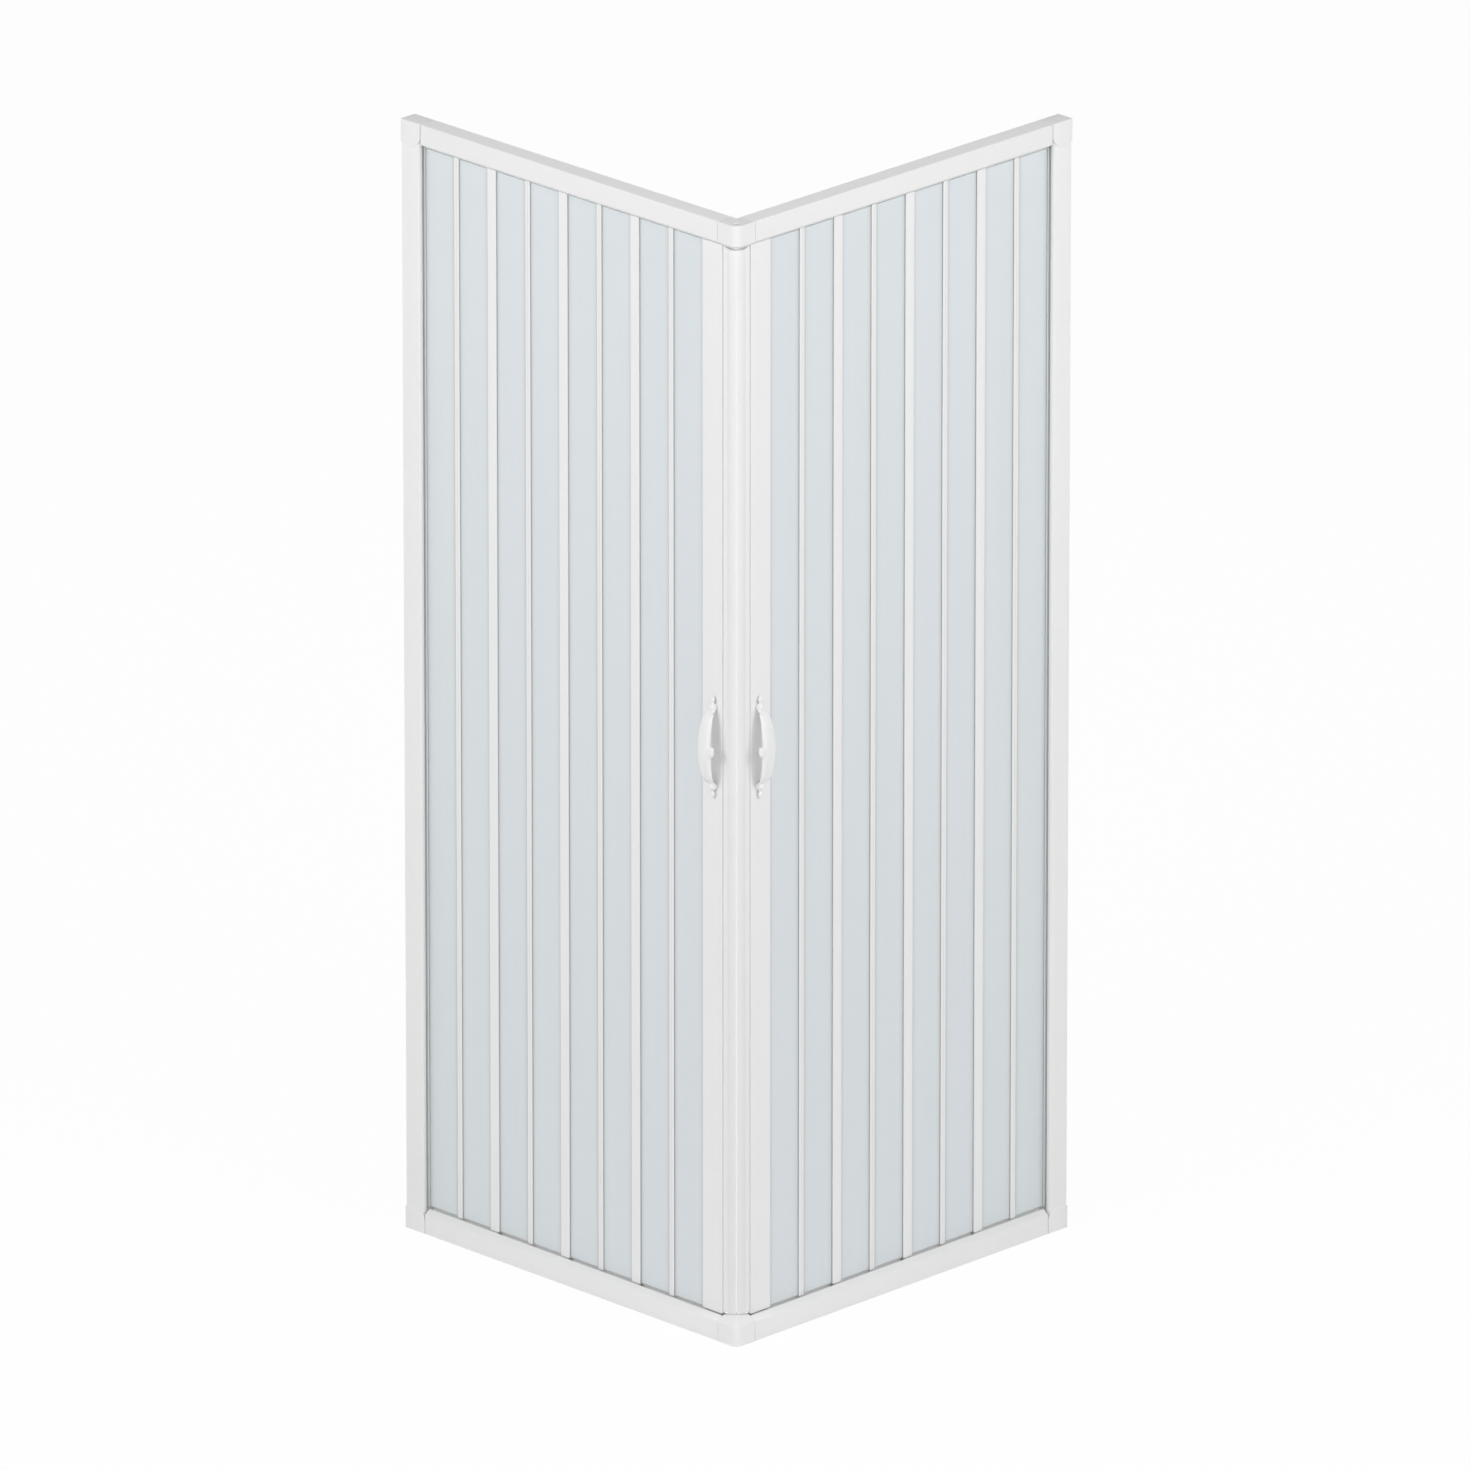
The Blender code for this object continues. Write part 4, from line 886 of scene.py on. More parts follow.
def post_surface(box, steps, edge):
    """A wall post: hollow body, front flange and a slot for the wall hinge strip."""
    (start, low, bottom), (end, high, top) = box
    back = low + POST_FLANGE
    body = start + POST_REBATE
    slot_half = TONGUE_HALF + SEAT_GAP
    slot_end = body + TONGUE_LENGTH + SEAT_GAP
    outer = np.concatenate([
        arc((start + POST_NOSE, low + POST_NOSE), POST_NOSE, 270, 180, steps),
        corners(0.0004, (start, back), (body, back), (body, MIDDLE - slot_half),
                (slot_end, MIDDLE - slot_half), (slot_end, MIDDLE + slot_half),
                (body, MIDDLE + slot_half), (body, high), (end, high)),
        arc((end - POST_HEEL, low + POST_HEEL), POST_HEEL, 0, -90, steps)])
    near, far, front = slot_end + POST_WALL, end - POST_WALL, low + POST_HEEL
    chamber = corners(CHAMBER_EDGE, (near, front), (far, front), (far, high - POST_WALL),
                      (near, high - POST_WALL))
    return extruded([outer, chamber], bottom, top, edge)


def socket_angles():
    """Angles where a socket's mouth opens for a neck that folds into the shower."""
    return FOLD_ANGLE + NECK_ANGLE, 360.0 - NECK_ANGLE


def socket_back(centre, start, steps):
    """Outer wall of a socket from its back line to its tip."""
    back = math.degrees(math.asin(BACK_DEPTH / SOCKET_OUTER))
    if start > 90.0:
        back = 180.0 - back
    return arc(centre, SOCKET_OUTER, back, start, max(3, steps // 3))


def wide_strip_outline(steps):
    """A wide strip about its wall-side axis: a flat face, two sockets behind its edges."""
    far = (-WIDE_SPACING, 0.0)
    tip, mouth = socket_angles()
    mouth_v = -SOCKET_OUTER * math.sin(math.radians(NECK_ANGLE))
    return np.concatenate([
        corners(STRIP_EDGE, (FACE_OVERHANG, -FACE_DEPTH)),
        corners(MOUTH_EDGE, (FACE_OVERHANG, mouth_v)),
        arc((0.0, 0.0), SOCKET_INNER, mouth, tip, steps),
        socket_back((0.0, 0.0), tip, steps)[::-1],
        socket_back(far, 180.0 - tip, steps),
        arc(far, SOCKET_INNER, 180.0 - tip, 180.0 - mouth, steps),
        corners(MOUTH_EDGE, (-WIDE_SPACING - FACE_OVERHANG, mouth_v)),
        corners(STRIP_EDGE, (-WIDE_SPACING - FACE_OVERHANG, -FACE_DEPTH))])


def narrow_half_outline(steps):
    """A narrow strip's half on the wall's side: a flat face and a socket round its slat's bead."""
    split = (SPLIT_GAP - NARROW_SPACING) / 2
    mouth_v = -SOCKET_OUTER * math.sin(math.radians(NECK_ANGLE))
    return np.concatenate([
        corners(0.0001, (split, -NARROW_DEPTH)),
        corners(0.0006, (FACE_OVERHANG, -NARROW_DEPTH)),
        corners(MOUTH_EDGE, (FACE_OVERHANG, mouth_v)),
        arc((0.0, 0.0), SOCKET_INNER, 360.0 - NECK_ANGLE, NECK_ANGLE, steps),
        arc((0.0, 0.0), SOCKET_OUTER, NECK_ANGLE, 90.0, steps // 2),
        corners(0.0002, (split, SOCKET_OUTER))])


def wall_hinge_outline(axis, high_t, steps):
    """The wall hinge strip: one socket, a body and a tongue for the post's slot."""
    body = high_t - TONGUE_LENGTH - axis
    end = high_t - axis
    tip, mouth = socket_angles()
    mouth_v = -SOCKET_OUTER * math.sin(math.radians(NECK_ANGLE))
    return np.concatenate([
        corners(0.0005, (-FACE_OVERHANG, -FACE_DEPTH), (body, -FACE_DEPTH)),
        corners(0.0002, (body, -TONGUE_HALF), (end, -TONGUE_HALF), (end, TONGUE_HALF),
                (body, TONGUE_HALF), (body, BACK_DEPTH)),
        socket_back((0.0, 0.0), 180.0 - tip, steps),
        arc((0.0, 0.0), SOCKET_INNER, 180.0 - tip, 180.0 - mouth, steps),
        corners(MOUTH_EDGE, (-FACE_OVERHANG, mouth_v))])


def slat_outline(steps):
    """A slat: a thin sheet with a neck and a round bead along both edges."""
    angle = math.degrees(math.asin(NECK_HALF / BEAD_RADIUS))
    sheet = NECK_LENGTH + NECK_TAPER
    upper = corners(0.0004, (-NECK_LENGTH, NECK_HALF), (-sheet, SLAT_HALF),
                    (sheet - SLAT_PITCH, SLAT_HALF), (NECK_LENGTH - SLAT_PITCH, NECK_HALF))
    lower = (upper * [1.0, -1.0, 1.0])[::-1]
    return np.concatenate([
        arc((0.0, 0.0), BEAD_RADIUS, angle - 180.0, 180.0 - angle, steps), upper,
        arc((-SLAT_PITCH, 0.0), BEAD_RADIUS, angle, 360.0 - angle, steps), lower])


def leading_outlines(axis, steps):
    """The leading profile: a flat face, a stepped neck with the seal's slot, and a chamber."""
    edge = axis + FACE_OVERHANG
    face = edge - LEADING_FACE
    start = face - LEADING_NECK
    back = FACE_V + LEADING_THICKNESS
    neck = FACE_V + LEADING_STEP
    slot_middle = (neck + back) / 2
    slot_half = SEAL_TONGUE_HALF + SEAT_GAP
    slot_end = start + SEAL_TONGUE_LENGTH
    socket = axis - LEADING_SOCKET
    tip, mouth = socket_angles()
    mouth_v = MIDDLE - SOCKET_OUTER * math.sin(math.radians(NECK_ANGLE))
    outer = np.concatenate([
        arc((face + LEADING_EDGE, FACE_V + LEADING_EDGE), LEADING_EDGE, 270, 180, steps // 2),
        corners(0.0006, (face, neck)),
        corners(0.0003, (start, neck), (start, slot_middle - slot_half),
                (slot_end, slot_middle - slot_half), (slot_end, slot_middle + slot_half),
                (start, slot_middle + slot_half)),
        corners(0.0008, (start, back), (socket, back), (socket, MIDDLE + BACK_DEPTH)),
        socket_back((axis, MIDDLE), tip, steps),
        arc((axis, MIDDLE), SOCKET_INNER, tip, mouth, steps),
        corners(MOUTH_EDGE, (edge, mouth_v)), corners(0.0009, (edge, FACE_V))])
    wall = LEADING_WALL
    chamber = corners(CHAMBER_EDGE, (face + 2 * wall, FACE_V + wall), (socket - wall, FACE_V + wall),
                      (socket - wall, back - wall), (face + 2 * wall, back - wall))
    return [outer, chamber]


def notched(profile, face, cut):
    """The leading profile with its neck cut shorter at both ends: the ends draw in by a soft step."""
    points, faces = profile
    share = np.clip((face - points[:, 0]) / NOTCH_STEP, 0.0, 1.0)
    way = np.where(points[:, 2] < HEIGHT / 2, 1.0, -1.0)
    points[:, 2] += way * share * cut
    return points, faces


def seal_outline(start, steps):
    """A closing seal: a quarter-round nose, a slanted meeting face and a tongue."""
    back = FACE_V + LEADING_THICKNESS
    offset = MEETING_GAP / math.sqrt(2)
    stop = 225.0 + math.degrees(math.asin(offset / (math.sqrt(2) * SEAL_RADIUS)))
    end = start - SEAT_GAP
    tongue_end = start + SEAL_TONGUE_LENGTH - SEAT_GAP
    middle = (FACE_V + LEADING_STEP + back) / 2
    return np.concatenate([
        arc((FACE_V + SEAL_RADIUS, FACE_V + SEAL_RADIUS), SEAL_RADIUS, 270.0, stop, steps * 2),
        corners(0.0006, (back + offset, back), (end, back)),
        corners(0.0003, (end, middle + SEAL_TONGUE_HALF), (tongue_end, middle + SEAL_TONGUE_HALF),
                (tongue_end, middle - SEAL_TONGUE_HALF), (end, middle - SEAL_TONGUE_HALF)),
        corners(0.0010, (end, FACE_V))])


def shoe_surface(centre, length, neck_half, neck_v, low, top):
    """A guide shoe: a block with round ends in the groove and a neck up to what it guides."""
    ridge = RAIL_RIDGE - SHOE_BELOW_RIDGE
    half = GROOVE_HALF - SHOE_CLEARANCE
    reach = length / 2 - half
    block = np.concatenate([arc((centre + reach, MIDDLE), half, -90, 90, SHOE_STEPS),
                            arc((centre - reach, MIDDLE), half, 90, 270, SHOE_STEPS)])
    neck = corners(0.0005, (centre - neck_half, neck_v[0]), (centre + neck_half, neck_v[0]),
                   (centre + neck_half, neck_v[1]), (centre - neck_half, neck_v[1]))
    return joined(extruded([block], low, ridge, SHOE_EDGE),
                  extruded([neck], ridge - SHOE_OVERLAP, top, SHOE_NECK_EDGE))


def signed_power(value, power):
    """The power of a value's size, with the value's sign."""
    return np.sign(value) * np.abs(value) ** power


def bow_surface(axis_t, height, forms):
    """The bow of a handle: oval rings carried along half an ellipse from foot to foot.

    With the turn from 0 to pi, the path is (reach * sin, half length * -cos), and the ring is
    (width * cos^p, thickness * sin^p) with p = BOW_POWER, set square to the path.
    """
    turn = np.linspace(0.0, np.pi, BOW_STEPS)[:, None]
    round_angle = np.linspace(0.0, 2 * np.pi, HANDLE_SEGMENTS, endpoint=False)[None, :]
    swell = np.sin(turn) ** BOW_SWELL_POWER
    out = BOW_FOOT_REACH + (forms.bow_reach - BOW_FOOT_REACH) * np.sin(turn)
    z = height - forms.bow_half_length * np.cos(turn)
    out_slope = (forms.bow_reach - BOW_FOOT_REACH) * np.cos(turn)
    z_slope = forms.bow_half_length * np.sin(turn)
    length = np.hypot(out_slope, z_slope)
    half_width = (BOW_FOOT_WIDTH + (forms.bow_width - BOW_FOOT_WIDTH) * swell) / 2
    half_thickness = (BOW_FOOT_THICKNESS + (forms.bow_thickness - BOW_FOOT_THICKNESS) * swell) / 2
    across = half_width * signed_power(np.cos(round_angle), BOW_POWER)
    lift = half_thickness * signed_power(np.sin(round_angle), BOW_POWER)
    t = axis_t + across
    v = FACE_V - out - lift * z_slope / length
    z = z + lift * out_slope / length
    points = np.stack(np.broadcast_arrays(t, v, z), axis=-1).reshape(-1, 3)
    faces = grid_faces(BOW_STEPS, HANDLE_SEGMENTS, True)
    faces.append(list(range(HANDLE_SEGMENTS)))
    faces.append(list(range((BOW_STEPS - 1) * HANDLE_SEGMENTS, BOW_STEPS * HANDLE_SEGMENTS))[::-1])
    return points, faces


def thumb_rest_surface(place, size):
    """A leaf-shaped thumb rest: a super-ellipsoid whose upper side is cut flat.

    x, y and z are the signed powers of the cosines and sines of latitude and longitude.
    """
    latitude = np.linspace(-np.pi / 2, np.pi / 2, REST_RINGS)[:, None]
    longitude = np.linspace(0.0, 2 * np.pi, REST_SEGMENTS, endpoint=False)[None, :]
    ring = np.abs(np.cos(latitude)) ** REST_POWER
    x = ring * signed_power(np.cos(longitude), REST_POWER)
    y = ring * signed_power(np.sin(longitude), REST_POWER)
    z = np.minimum(signed_power(np.sin(latitude), REST_POWER) + 0 * longitude, REST_CUT)
    points = np.stack([x * size[0], y * size[1], z * size[2]], axis=-1).reshape(-1, 3) + place
    return points, grid_faces(REST_RINGS, REST_SEGMENTS, True)


def handle_surface(axis_t, height, forms):
    """All forms of a handle together: bow, feet, finials and thumb rest."""
    parts = [bow_surface(axis_t, height, forms)]
    for way in (-1.0, 1.0):
        place = np.array([axis_t, FACE_V - HANDLE_SINK, height + way * FOOT_HALF_DISTANCE])
        points, faces = revolved(FOOT_PROFILE, HANDLE_SEGMENTS)
        points = points[:, [0, 2, 1]] + place
        points[:, 1] = 2 * place[1] - points[:, 1]
        parts.append((points, faces))
        place = np.array([axis_t, FACE_V - FINIAL_DEPTH,
                          height + way * (FOOT_HALF_DISTANCE + FINIAL_RISE)])
        points, faces = revolved(FINIAL_PROFILE, HANDLE_SEGMENTS)
        points = points * [1.0, FINIAL_FLATNESS, way]
        parts.append((points + place, faces))
    bow_front = np.array([axis_t, FACE_V - forms.bow_reach, height])
    parts.append(thumb_rest_surface(bow_front + REST_PLACE, REST_SIZE))
    points, faces = joined(*parts)
    points[:, 1] = np.minimum(points[:, 1], FACE_V - SEAT_GAP)
    return points, faces


def screw_surface(radius, rise):
    """A domed screw head with a cross recess, as a height over a round grid.

    The dome falls with the square of the radius, and the cross is a depth where either arm of
    a plus sign covers the place.
    """
    ring = np.concatenate([np.linspace(*DOME_RADII, DOME_RINGS), RIM_RADII])[:, None]
    angle = np.linspace(0.0, 2 * np.pi, SCREW_SEGMENTS, endpoint=False)[None, :]
    x = ring * np.cos(angle)
    y = ring * np.sin(angle)
    arm = np.minimum(np.maximum(np.abs(x) / CROSS_HALF_WIDTH, np.abs(y) / CROSS_REACH),
                     np.maximum(np.abs(y) / CROSS_HALF_WIDTH, np.abs(x) / CROSS_REACH))
    cross = 1.0 / (1.0 + np.exp((arm - 1.0) * CROSS_SHARPNESS))
    height = DOME_FOOT + DOME_SWELL * (1.0 - ring ** 2) - CROSS_DEPTH * cross
    height[-2:] = np.array(RIM_HEIGHTS)[:, None]
    points = np.stack([x * radius, y * radius, height * rise], axis=-1).reshape(-1, 3)
    faces = grid_faces(len(ring), SCREW_SEGMENTS, True)
    faces.append(list(range(SCREW_SEGMENTS))[::-1])
    faces.append(list(range(len(points) - SCREW_SEGMENTS, len(points))))
    return points, faces


# Operators

class ENCLOSURE_OT_joints(Operator):
    """Make the two corner joints and the four wall joints."""

    bl_idname = "enclosure.joints"
    bl_label = "Joints"

    def execute(self, context):
        forms = context.scene.enclosure_forms
        leg = wing_box("bottom_corner_joint")[1][0] - CORNER_TONGUE
        corner = corner_joint_surface(leg, forms.joint_edge)
        white = finish_named("white_moulding")
        make_pair(["lower_corner_moulding", "upper_corner_moulding"], corner, "right", "frame",
                  ["bottom_corner_joint", "top_corner_joint"], white)
        for wing in WINGS:
            end = wing_box(wing + "_bottom_wall_joint")[1][0]
            joint = wall_joint_surface(end - WALL_JOINT_LENGTH, end, forms.joint_edge)
            make_pair([wing + "_lower_wall_moulding", wing + "_upper_wall_moulding"], joint, wing,
                      "frame", [wing + "_bottom_wall_joint", wing + "_top_wall_joint"], white)
        return {"FINISHED"}


class ENCLOSURE_OT_rails(Operator):
    """Make the rails, the wall posts and the wall hinge strips."""

    bl_idname = "enclosure.rails"
    bl_label = "Rails and posts"

    def execute(self, context):
        forms = context.scene.enclosure_forms
        steps = forms.arc_steps
        upright_white = finish_named("white_extrusion_upright")
        for wing in WINGS:
            white = finish_named("white_extrusion_" + wing)
            low, high = wing_box(wing + "_bottom_rail")
            rail = rail_surface(low[0] + SEAM, high[0] - SEAM, forms.rail_edge)
            make_pair([wing + "_lower_rail_profile", wing + "_upper_rail_profile"], rail, wing,
                      "frame", [wing + "_bottom_rail", wing + "_top_rail"], white)
            post = post_surface(wing_box(wing + "_wall_post"), steps, forms.saw_edge)
            make_piece(wing + "_post_profile", post, wing, "frame", [wing + "_wall_post"],
                       upright_white)
            axis = HINGE_T[wing + "_slat_1"]
            low, high = wing_box(wing + "_wall_hinge_strip")
            outline = wall_hinge_outline(axis, high[0], steps) + [axis, MIDDLE, 0.0]
            hinge = extruded([outline], low[2], high[2], forms.saw_edge)
            make_piece(wing + "_wall_hinge_profile", hinge, wing, "frame",
                       [wing + "_wall_hinge_strip"], upright_white)
        return {"FINISHED"}


class ENCLOSURE_OT_slats(Operator):
    """Make the frosted slats of both doors."""

    bl_idname = "enclosure.slats"
    bl_label = "Slats"

    def execute(self, context):
        forms = context.scene.enclosure_forms
        outline = slat_outline(forms.arc_steps)
        for wing in WINGS:
            # The even slats' solids also hold a strip's half, so the first slat gives the height.
            low, high = wing_box(wing + "_slat_1")
            for number in range(1, SLAT_COUNT + 1):
                node = wing + "_slat_" + str(number)
                edge = HINGE_T[node] if number % 2 else HINGE_T[node] - NARROW_SPACING / 2
                slat = extruded([outline + [edge, MIDDLE, 0.0]], low[2] - SLAT_REACH,
                                high[2] + SLAT_REACH, forms.saw_edge)
                make_piece(node + "_sheet", slat, wing, node, [node], finish_named("frosted_sheet"))
        return {"FINISHED"}


def make_narrow_strip(wing, number, span, forms):
    """Both halves of a narrow strip: each rides on the slat that its socket or edge holds."""
    node = wing + "_narrow_strip_" + str(number)
    bodies = [wing + "_slat_" + str(2 * number - 1), wing + "_slat_" + str(2 * number)]
    half = narrow_half_outline(forms.arc_steps) + [NARROW_SPACING / 2, MIDDLE, 0.0]
    mirrored = (half * [-1.0, 1.0, 1.0])[::-1]
    kinds = (("_profile", half, [node]), ("_far_half", mirrored, []))
    for body, (kind, outline, nodes) in zip(bodies, kinds):
        surface = extruded([outline + [HINGE_T[bodies[1]], 0.0, 0.0]], *span, forms.saw_edge)
        make_piece(node + kind, surface, wing, body, nodes,
                   finish_named("white_extrusion_upright"))


def make_wide_strip(wing, number, span, forms):
    """A wide strip and its two guide shoes."""
    node = wing + "_wide_strip_" + str(number)
    axis = HINGE_T[node]
    outline = wide_strip_outline(forms.arc_steps) + [axis, MIDDLE, 0.0]
    make_piece(node + "_profile", extruded([outline], *span, forms.saw_edge), wing, node, [node],
               finish_named("white_extrusion_upright"))
    front = FACE_V + SEAT_GAP
    low = wing_box(wing + "_bottom_leading_shoe")[0][2]
    shoe = shoe_surface(axis - WIDE_SPACING / 2, WIDE_SHOE_LENGTH, WIDE_SHOE_NECK_HALF,
                        (front, front + WIDE_SHOE_NECK_DEPTH), low, span[0] + WIDE_SHOE_OVERLAP)
    make_piece(node + "_shoes", joined(shoe, upside_down(shoe)), wing, node, [],
               finish_named("grey_guide_plastic"))


class ENCLOSURE_OT_strips(Operator):
    """Make the narrow strips in halves and the wide strips with their guide shoes."""

    bl_idname = "enclosure.strips"
    bl_label = "Hinge strips"

    def execute(self, context):
        forms = context.scene.enclosure_forms
        low, high = wing_box("right_narrow_strip_1")
        span = (low[2] - STRIP_REACH, high[2] + STRIP_REACH)
        for wing in WINGS:
            for number in range(1, NARROW_COUNT + 1):
                make_narrow_strip(wing, number, span, forms)
            for number in range(1, WIDE_COUNT + 1):
                make_wide_strip(wing, number, span, forms)
        return {"FINISHED"}


class ENCLOSURE_OT_leading(Operator):
    """Make the leading profiles with their guide shoes, closing seals and magnets."""

    bl_idname = "enclosure.leading"
    bl_label = "Leading profiles"

    def execute(self, context):
        forms = context.scene.enclosure_forms
        steps = forms.arc_steps
        for wing in WINGS:
            body = wing + "_leading_profile"
            axis = HINGE_T[body]
            low, high = wing_box(body)
            start = axis + FACE_OVERHANG - LEADING_FACE - LEADING_NECK
            seal_low, seal_high = wing_box(wing + "_closing_seal")
            profile = extruded(leading_outlines(axis, steps), low[2] - STRIP_REACH,
                              high[2] + STRIP_REACH, forms.saw_edge)
            profile = notched(profile, start + LEADING_NECK, seal_low[2] - low[2] + STRIP_REACH)
            make_piece(body + "_extrusion", profile, wing, body, [body],
                       finish_named("white_extrusion_upright"))
            seal = extruded([seal_outline(start, steps)], seal_low[2] - SEAL_REACH,
                           seal_high[2] + SEAL_REACH, SEAL_REACH)
            make_piece(wing + "_seal_nose", seal, wing, body, [wing + "_closing_seal"],
                       finish_named("soft_seal_white"))
            shoe_low, shoe_high = wing_box(wing + "_bottom_leading_shoe")
            centre = (shoe_low[0] + shoe_high[0]) / 2
            front = FACE_V + LEADING_WALL + SEAT_GAP
            shoe = shoe_surface(centre, shoe_high[0] - shoe_low[0], LEADING_SHOE_NECK_HALF,
                                (front, front + LEADING_SHOE_NECK_DEPTH), shoe_low[2], shoe_high[2])
            make_pair([wing + "_lower_leading_slider", wing + "_upper_leading_slider"], shoe, wing,
                      body, [wing + "_bottom_leading_shoe", wing + "_top_leading_shoe"],
                      finish_named("grey_guide_plastic"))
            magnet = frame["nodes"][wing + "_closing_magnet"].data
            magnet.materials.clear()
            magnet.materials.append(finish_named("magnet_rubber"))
        return {"FINISHED"}


class ENCLOSURE_OT_handles(Operator):
    """Make the two bow handles and the screws that hold them from inside."""

    bl_idname = "enclosure.handles"
    bl_label = "Handles"

    def execute(self, context):
        forms = context.scene.enclosure_forms
        for wing in WINGS:
            body = wing + "_leading_profile"
            low, high = wing_box(wing + "_handle")
            height = (low[2] + high[2]) / 2
            axis_t = HINGE_T[body] + FACE_OVERHANG - HANDLE_FROM_EDGE
            surface = handle_surface(axis_t, height, forms)
            piece = make_piece(wing + "_bow_handle", surface, wing, body, [wing + "_handle"],
                               finish_named("white_moulding"),
                               HANDLE_SHARP_ANGLE)
            remesh = piece.modifiers.new("one skin", "REMESH")
            remesh.mode = "VOXEL"
            remesh.voxel_size = SKIN_GRAIN
            remesh.use_smooth_shade = True
            fillet = piece.modifiers.new("fillets", "SMOOTH")
            fillet.factor = FILLET_FACTOR
            fillet.iterations = FILLET_ROUNDS
            back = FACE_V + LEADING_THICKNESS
            for name, way in (("lower", -1.0), ("upper", 1.0)):
                points, faces = screw_surface(*HANDLE_SCREW)
                points = points[:, [0, 2, 1]]
                place = [axis_t, back + SCREW_LIFT, height + way * FOOT_HALF_DISTANCE]
                make_piece(wing + "_" + name + "_handle_screw", (points + place, faces), wing, body,
                           [], finish_named("zinc_plated_steel"),
                           SCREW_SHARP_ANGLE)
        return {"FINISHED"}


class ENCLOSURE_OT_cap_screws(Operator):
    """Make the cap screws in the recesses of the corner joints."""

    bl_idname = "enclosure.cap_screws"
    bl_label = "Cap screws"

    def execute(self, context):
        points, faces = screw_surface(*CAP_SCREW)
        points = points * [1.0, 1.0, -1.0]
        place = [RECESS_FROM_CORNER, RECESS_FROM_CORNER, RECESS_DEPTH - SCREW_LIFT]
        screw = (points + place, faces)
        make_pair(["lower_cap_screw", "upper_cap_screw"], screw, "right", "frame", [],
                  finish_named("zinc_plated_steel"), SCREW_SHARP_ANGLE)
        return {"FINISHED"}


class ENCLOSURE_OT_stage(Operator):
    """Make the floor, the light and the camera."""

    bl_idname = "enclosure.stage"
    bl_label = "Stage"

    def execute(self, context):
        stage = context.scene.enclosure_stage
        make_floor(stage)
        make_world(stage)
        make_lamps(stage)
        make_camera(stage)
        context.scene.view_settings.view_transform = "Standard"
        return {"FINISHED"}


# Stage

def seen_directly(graph):
    """A value of 1 for rays that show a background: from the camera, a reflection or glass."""
    path = graph.tree.nodes.new("ShaderNodeLightPath")
    camera, glossy, through = (Value(graph, path.outputs[name]) for name in
                               ("Is Camera Ray", "Is Glossy Ray", "Is Transmission Ray"))
    return camera.worked("MAXIMUM", camera.worked("MAXIMUM", camera, glossy), through)


def make_floor(stage):
    """A large pale disc whose rings widen outwards, shown almost white to the camera."""
    points, faces = revolved([(radius, 0.0) for radius in FLOOR_RADII], FLOOR_SEGMENTS)
    faces.append(list(range(len(points) - FLOOR_SEGMENTS, len(points))))
    mesh = bpy.data.meshes.new("floor")
    mesh.from_pydata((points - [0.0, 0.0, FLOOR_DROP]).tolist(), [], faces)
    floor = bpy.data.objects.new("floor", mesh)
    bpy.context.scene.collection.objects.link(floor)
    finish = Finish("pale_floor", {"Roughness": 0.9, "Specular IOR Level": 0.1})
    cloud = finish.noise(finish.place(), 0.7, 2.0, 0.5)
    colour = stage.floor_colour
    finish.paint("Base Color", finish.tinted(cloud, shade(colour, 0.99), shade(colour, 1.01)))
    white = finish.add("ShaderNodeEmission", {}, None, 1.0)
    mix = finish.add("ShaderNodeMixShader", {}, seen_directly(finish) * FLOOR_WHITE_SHARE,
                     Value(finish, finish.surface.outputs[0]), white)
    output = next(node for node in finish.tree.nodes if node.type == "OUTPUT_MATERIAL")
    finish.give(output.inputs["Surface"], mix)
    mesh.materials.append(finish.material)


def make_world(stage):
    """Grey light that fades overhead and behind, with a white background to the eye."""
    world = bpy.data.worlds.new("soft_surround")
    bpy.context.scene.world = world
    world.use_nodes = True
    graph = Graph(world.node_tree)
    graph.tree.nodes.clear()
    output = graph.tree.nodes.new("ShaderNodeOutputWorld")
    toward = graph.add("ShaderNodeTexCoord", {}, output="Generated")
    height = graph.add("ShaderNodeSeparateXYZ", {}, toward, output="Z")
    overhead = graph.add("ShaderNodeMapRange", {}, height, *OVERHEAD_RANGE, stage.surround,
                         stage.surround * stage.zenith)
    rearward = graph.add("ShaderNodeVectorMath", {"operation": "DOT_PRODUCT"}, toward,
                         INWARD_DIAGONAL, output="Value")
    behind = graph.add("ShaderNodeMapRange", {}, rearward, -1.0, 1.0, 1.0, stage.behind)
    light = graph.add("ShaderNodeBackground", {}, WHITE, overhead * behind)
    white = graph.add("ShaderNodeBackground", {}, WHITE, 1.0)
    graph.give(output.inputs["Surface"], graph.add("ShaderNodeMixShader", {},
                                                   seen_directly(graph), light, white))


def make_lamp(name, place, target, power, size):
    """A soft square lamp at a place that points at a target."""
    data = bpy.data.lights.new(name, "AREA")
    data.energy = power
    data.size = size
    lamp = bpy.data.objects.new(name, data)
    lamp.location = place
    lamp.rotation_euler = (Vector(target) - Vector(place)).to_track_quat("-Z", "Y").to_euler()
    bpy.context.scene.collection.objects.link(lamp)


def make_lamps(stage):
    """A soft lamp before the face of each wing and a weak one beyond the open back."""
    for name, turn in (("left_lamp", -LAMP_TURN), ("right_lamp", LAMP_TURN)):
        angle = math.radians(OUTWARD_DIAGONAL + turn)
        place = (CORNER[0] + stage.key_distance * math.cos(angle),
                 CORNER[1] + stage.key_distance * math.sin(angle), stage.key_height)
        make_lamp(name, place, LAMP_TARGET, stage.key_power, FRONT_LAMP_SIZE)
    make_lamp("back_lamp", BACK_LAMP_PLACE, BACK_LAMP_TARGET, stage.key_power * BACK_LAMP_SHARE,
              BACK_LAMP_SIZE)


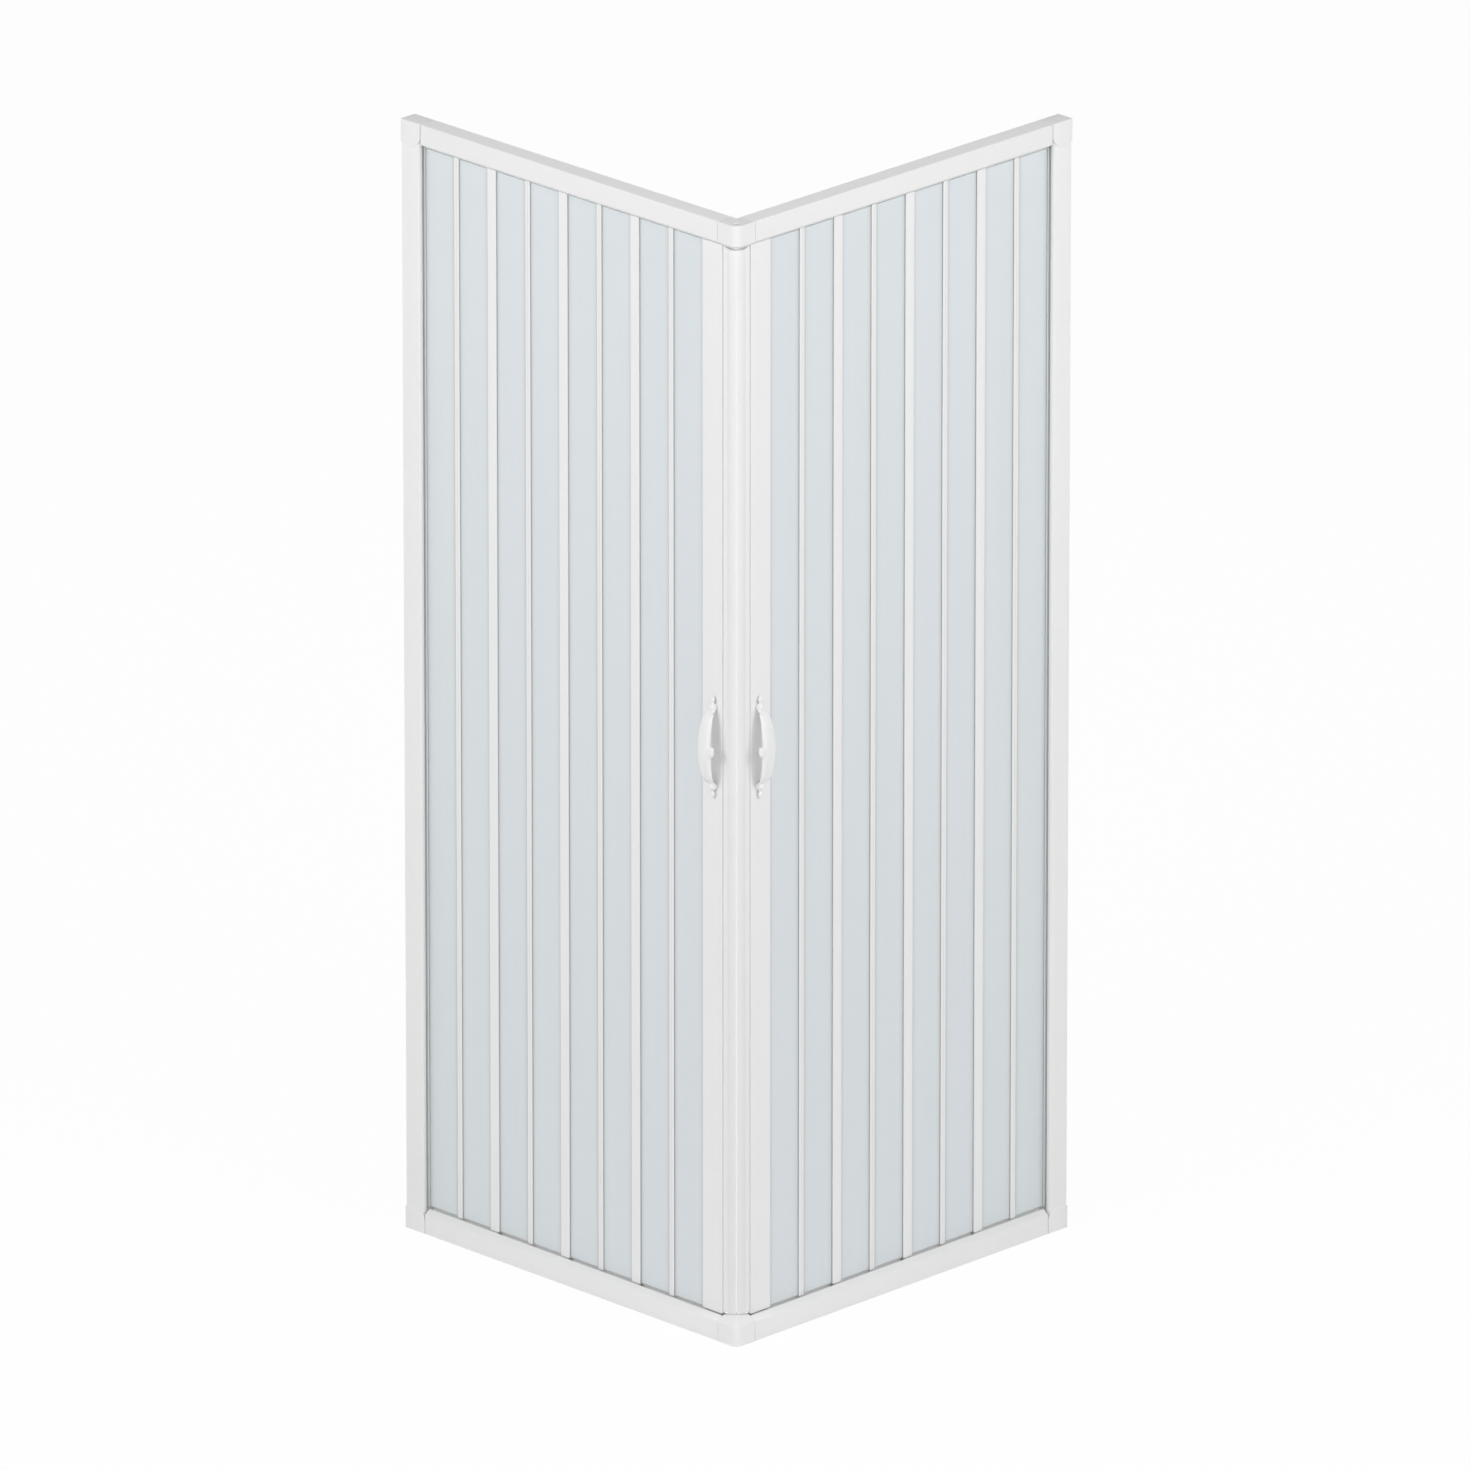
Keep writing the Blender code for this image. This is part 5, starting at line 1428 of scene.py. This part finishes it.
def make_camera(stage):
    """The camera at the photographed angle."""
    azimuth, pitch = math.radians(CAMERA_AZIMUTH), math.radians(CAMERA_PITCH)
    target = Vector(CORNER + CAMERA_TARGET)
    forward = Vector((math.cos(pitch) * math.cos(azimuth), math.cos(pitch) * math.sin(azimuth),
                      -math.sin(pitch)))
    data = bpy.data.cameras.new("camera")
    data.sensor_width = 36.0
    data.lens = stage.lens
    data.clip_start = 1.0
    data.clip_end = 200.0
    camera = bpy.data.objects.new("camera", data)
    camera.location = target - forward * CAMERA_DISTANCE
    camera.rotation_euler = forward.to_track_quat("-Z", "Y").to_euler()
    bpy.context.scene.collection.objects.link(camera)
    bpy.context.scene.camera = camera


# Panel and registration

class ENCLOSURE_PT_pieces(Panel):
    """Lists the steps that make the enclosure."""

    bl_label = "Corner enclosure"
    bl_idname = "ENCLOSURE_PT_pieces"
    bl_space_type = "VIEW_3D"
    bl_region_type = "UI"
    bl_category = "Enclosure"

    def draw(self, context):
        layout = self.layout
        for name in STEPS:
            layout.operator("enclosure." + name)
        for group in ("enclosure_forms", "enclosure_colours", "enclosure_stage"):
            settings = getattr(context.scene, group)
            box = layout.box()
            for name in settings.__annotations__:
                box.prop(settings, name)


STEPS = ("joints", "rails", "slats", "strips", "leading", "handles", "cap_screws", "stage")
CLASSES = (EnclosureForms, EnclosureColours, EnclosureStage, ENCLOSURE_OT_joints,
           ENCLOSURE_OT_rails, ENCLOSURE_OT_slats, ENCLOSURE_OT_strips, ENCLOSURE_OT_leading,
           ENCLOSURE_OT_handles, ENCLOSURE_OT_cap_screws, ENCLOSURE_OT_stage,
           ENCLOSURE_PT_pieces)


def register():
    """Register the settings, operators and panel."""
    for kind in CLASSES:
        bpy.utils.register_class(kind)
    bpy.types.Scene.enclosure_forms = PointerProperty(type=EnclosureForms)
    bpy.types.Scene.enclosure_colours = PointerProperty(type=EnclosureColours)
    bpy.types.Scene.enclosure_stage = PointerProperty(type=EnclosureStage)


def unregister():
    """Take the settings, operators and panel away."""
    del bpy.types.Scene.enclosure_stage
    del bpy.types.Scene.enclosure_colours
    del bpy.types.Scene.enclosure_forms
    for kind in reversed(CLASSES):
        bpy.utils.unregister_class(kind)


def main():
    register()
    for name in STEPS:
        getattr(bpy.ops.enclosure, name)()


if __name__ == "__main__":
    main()
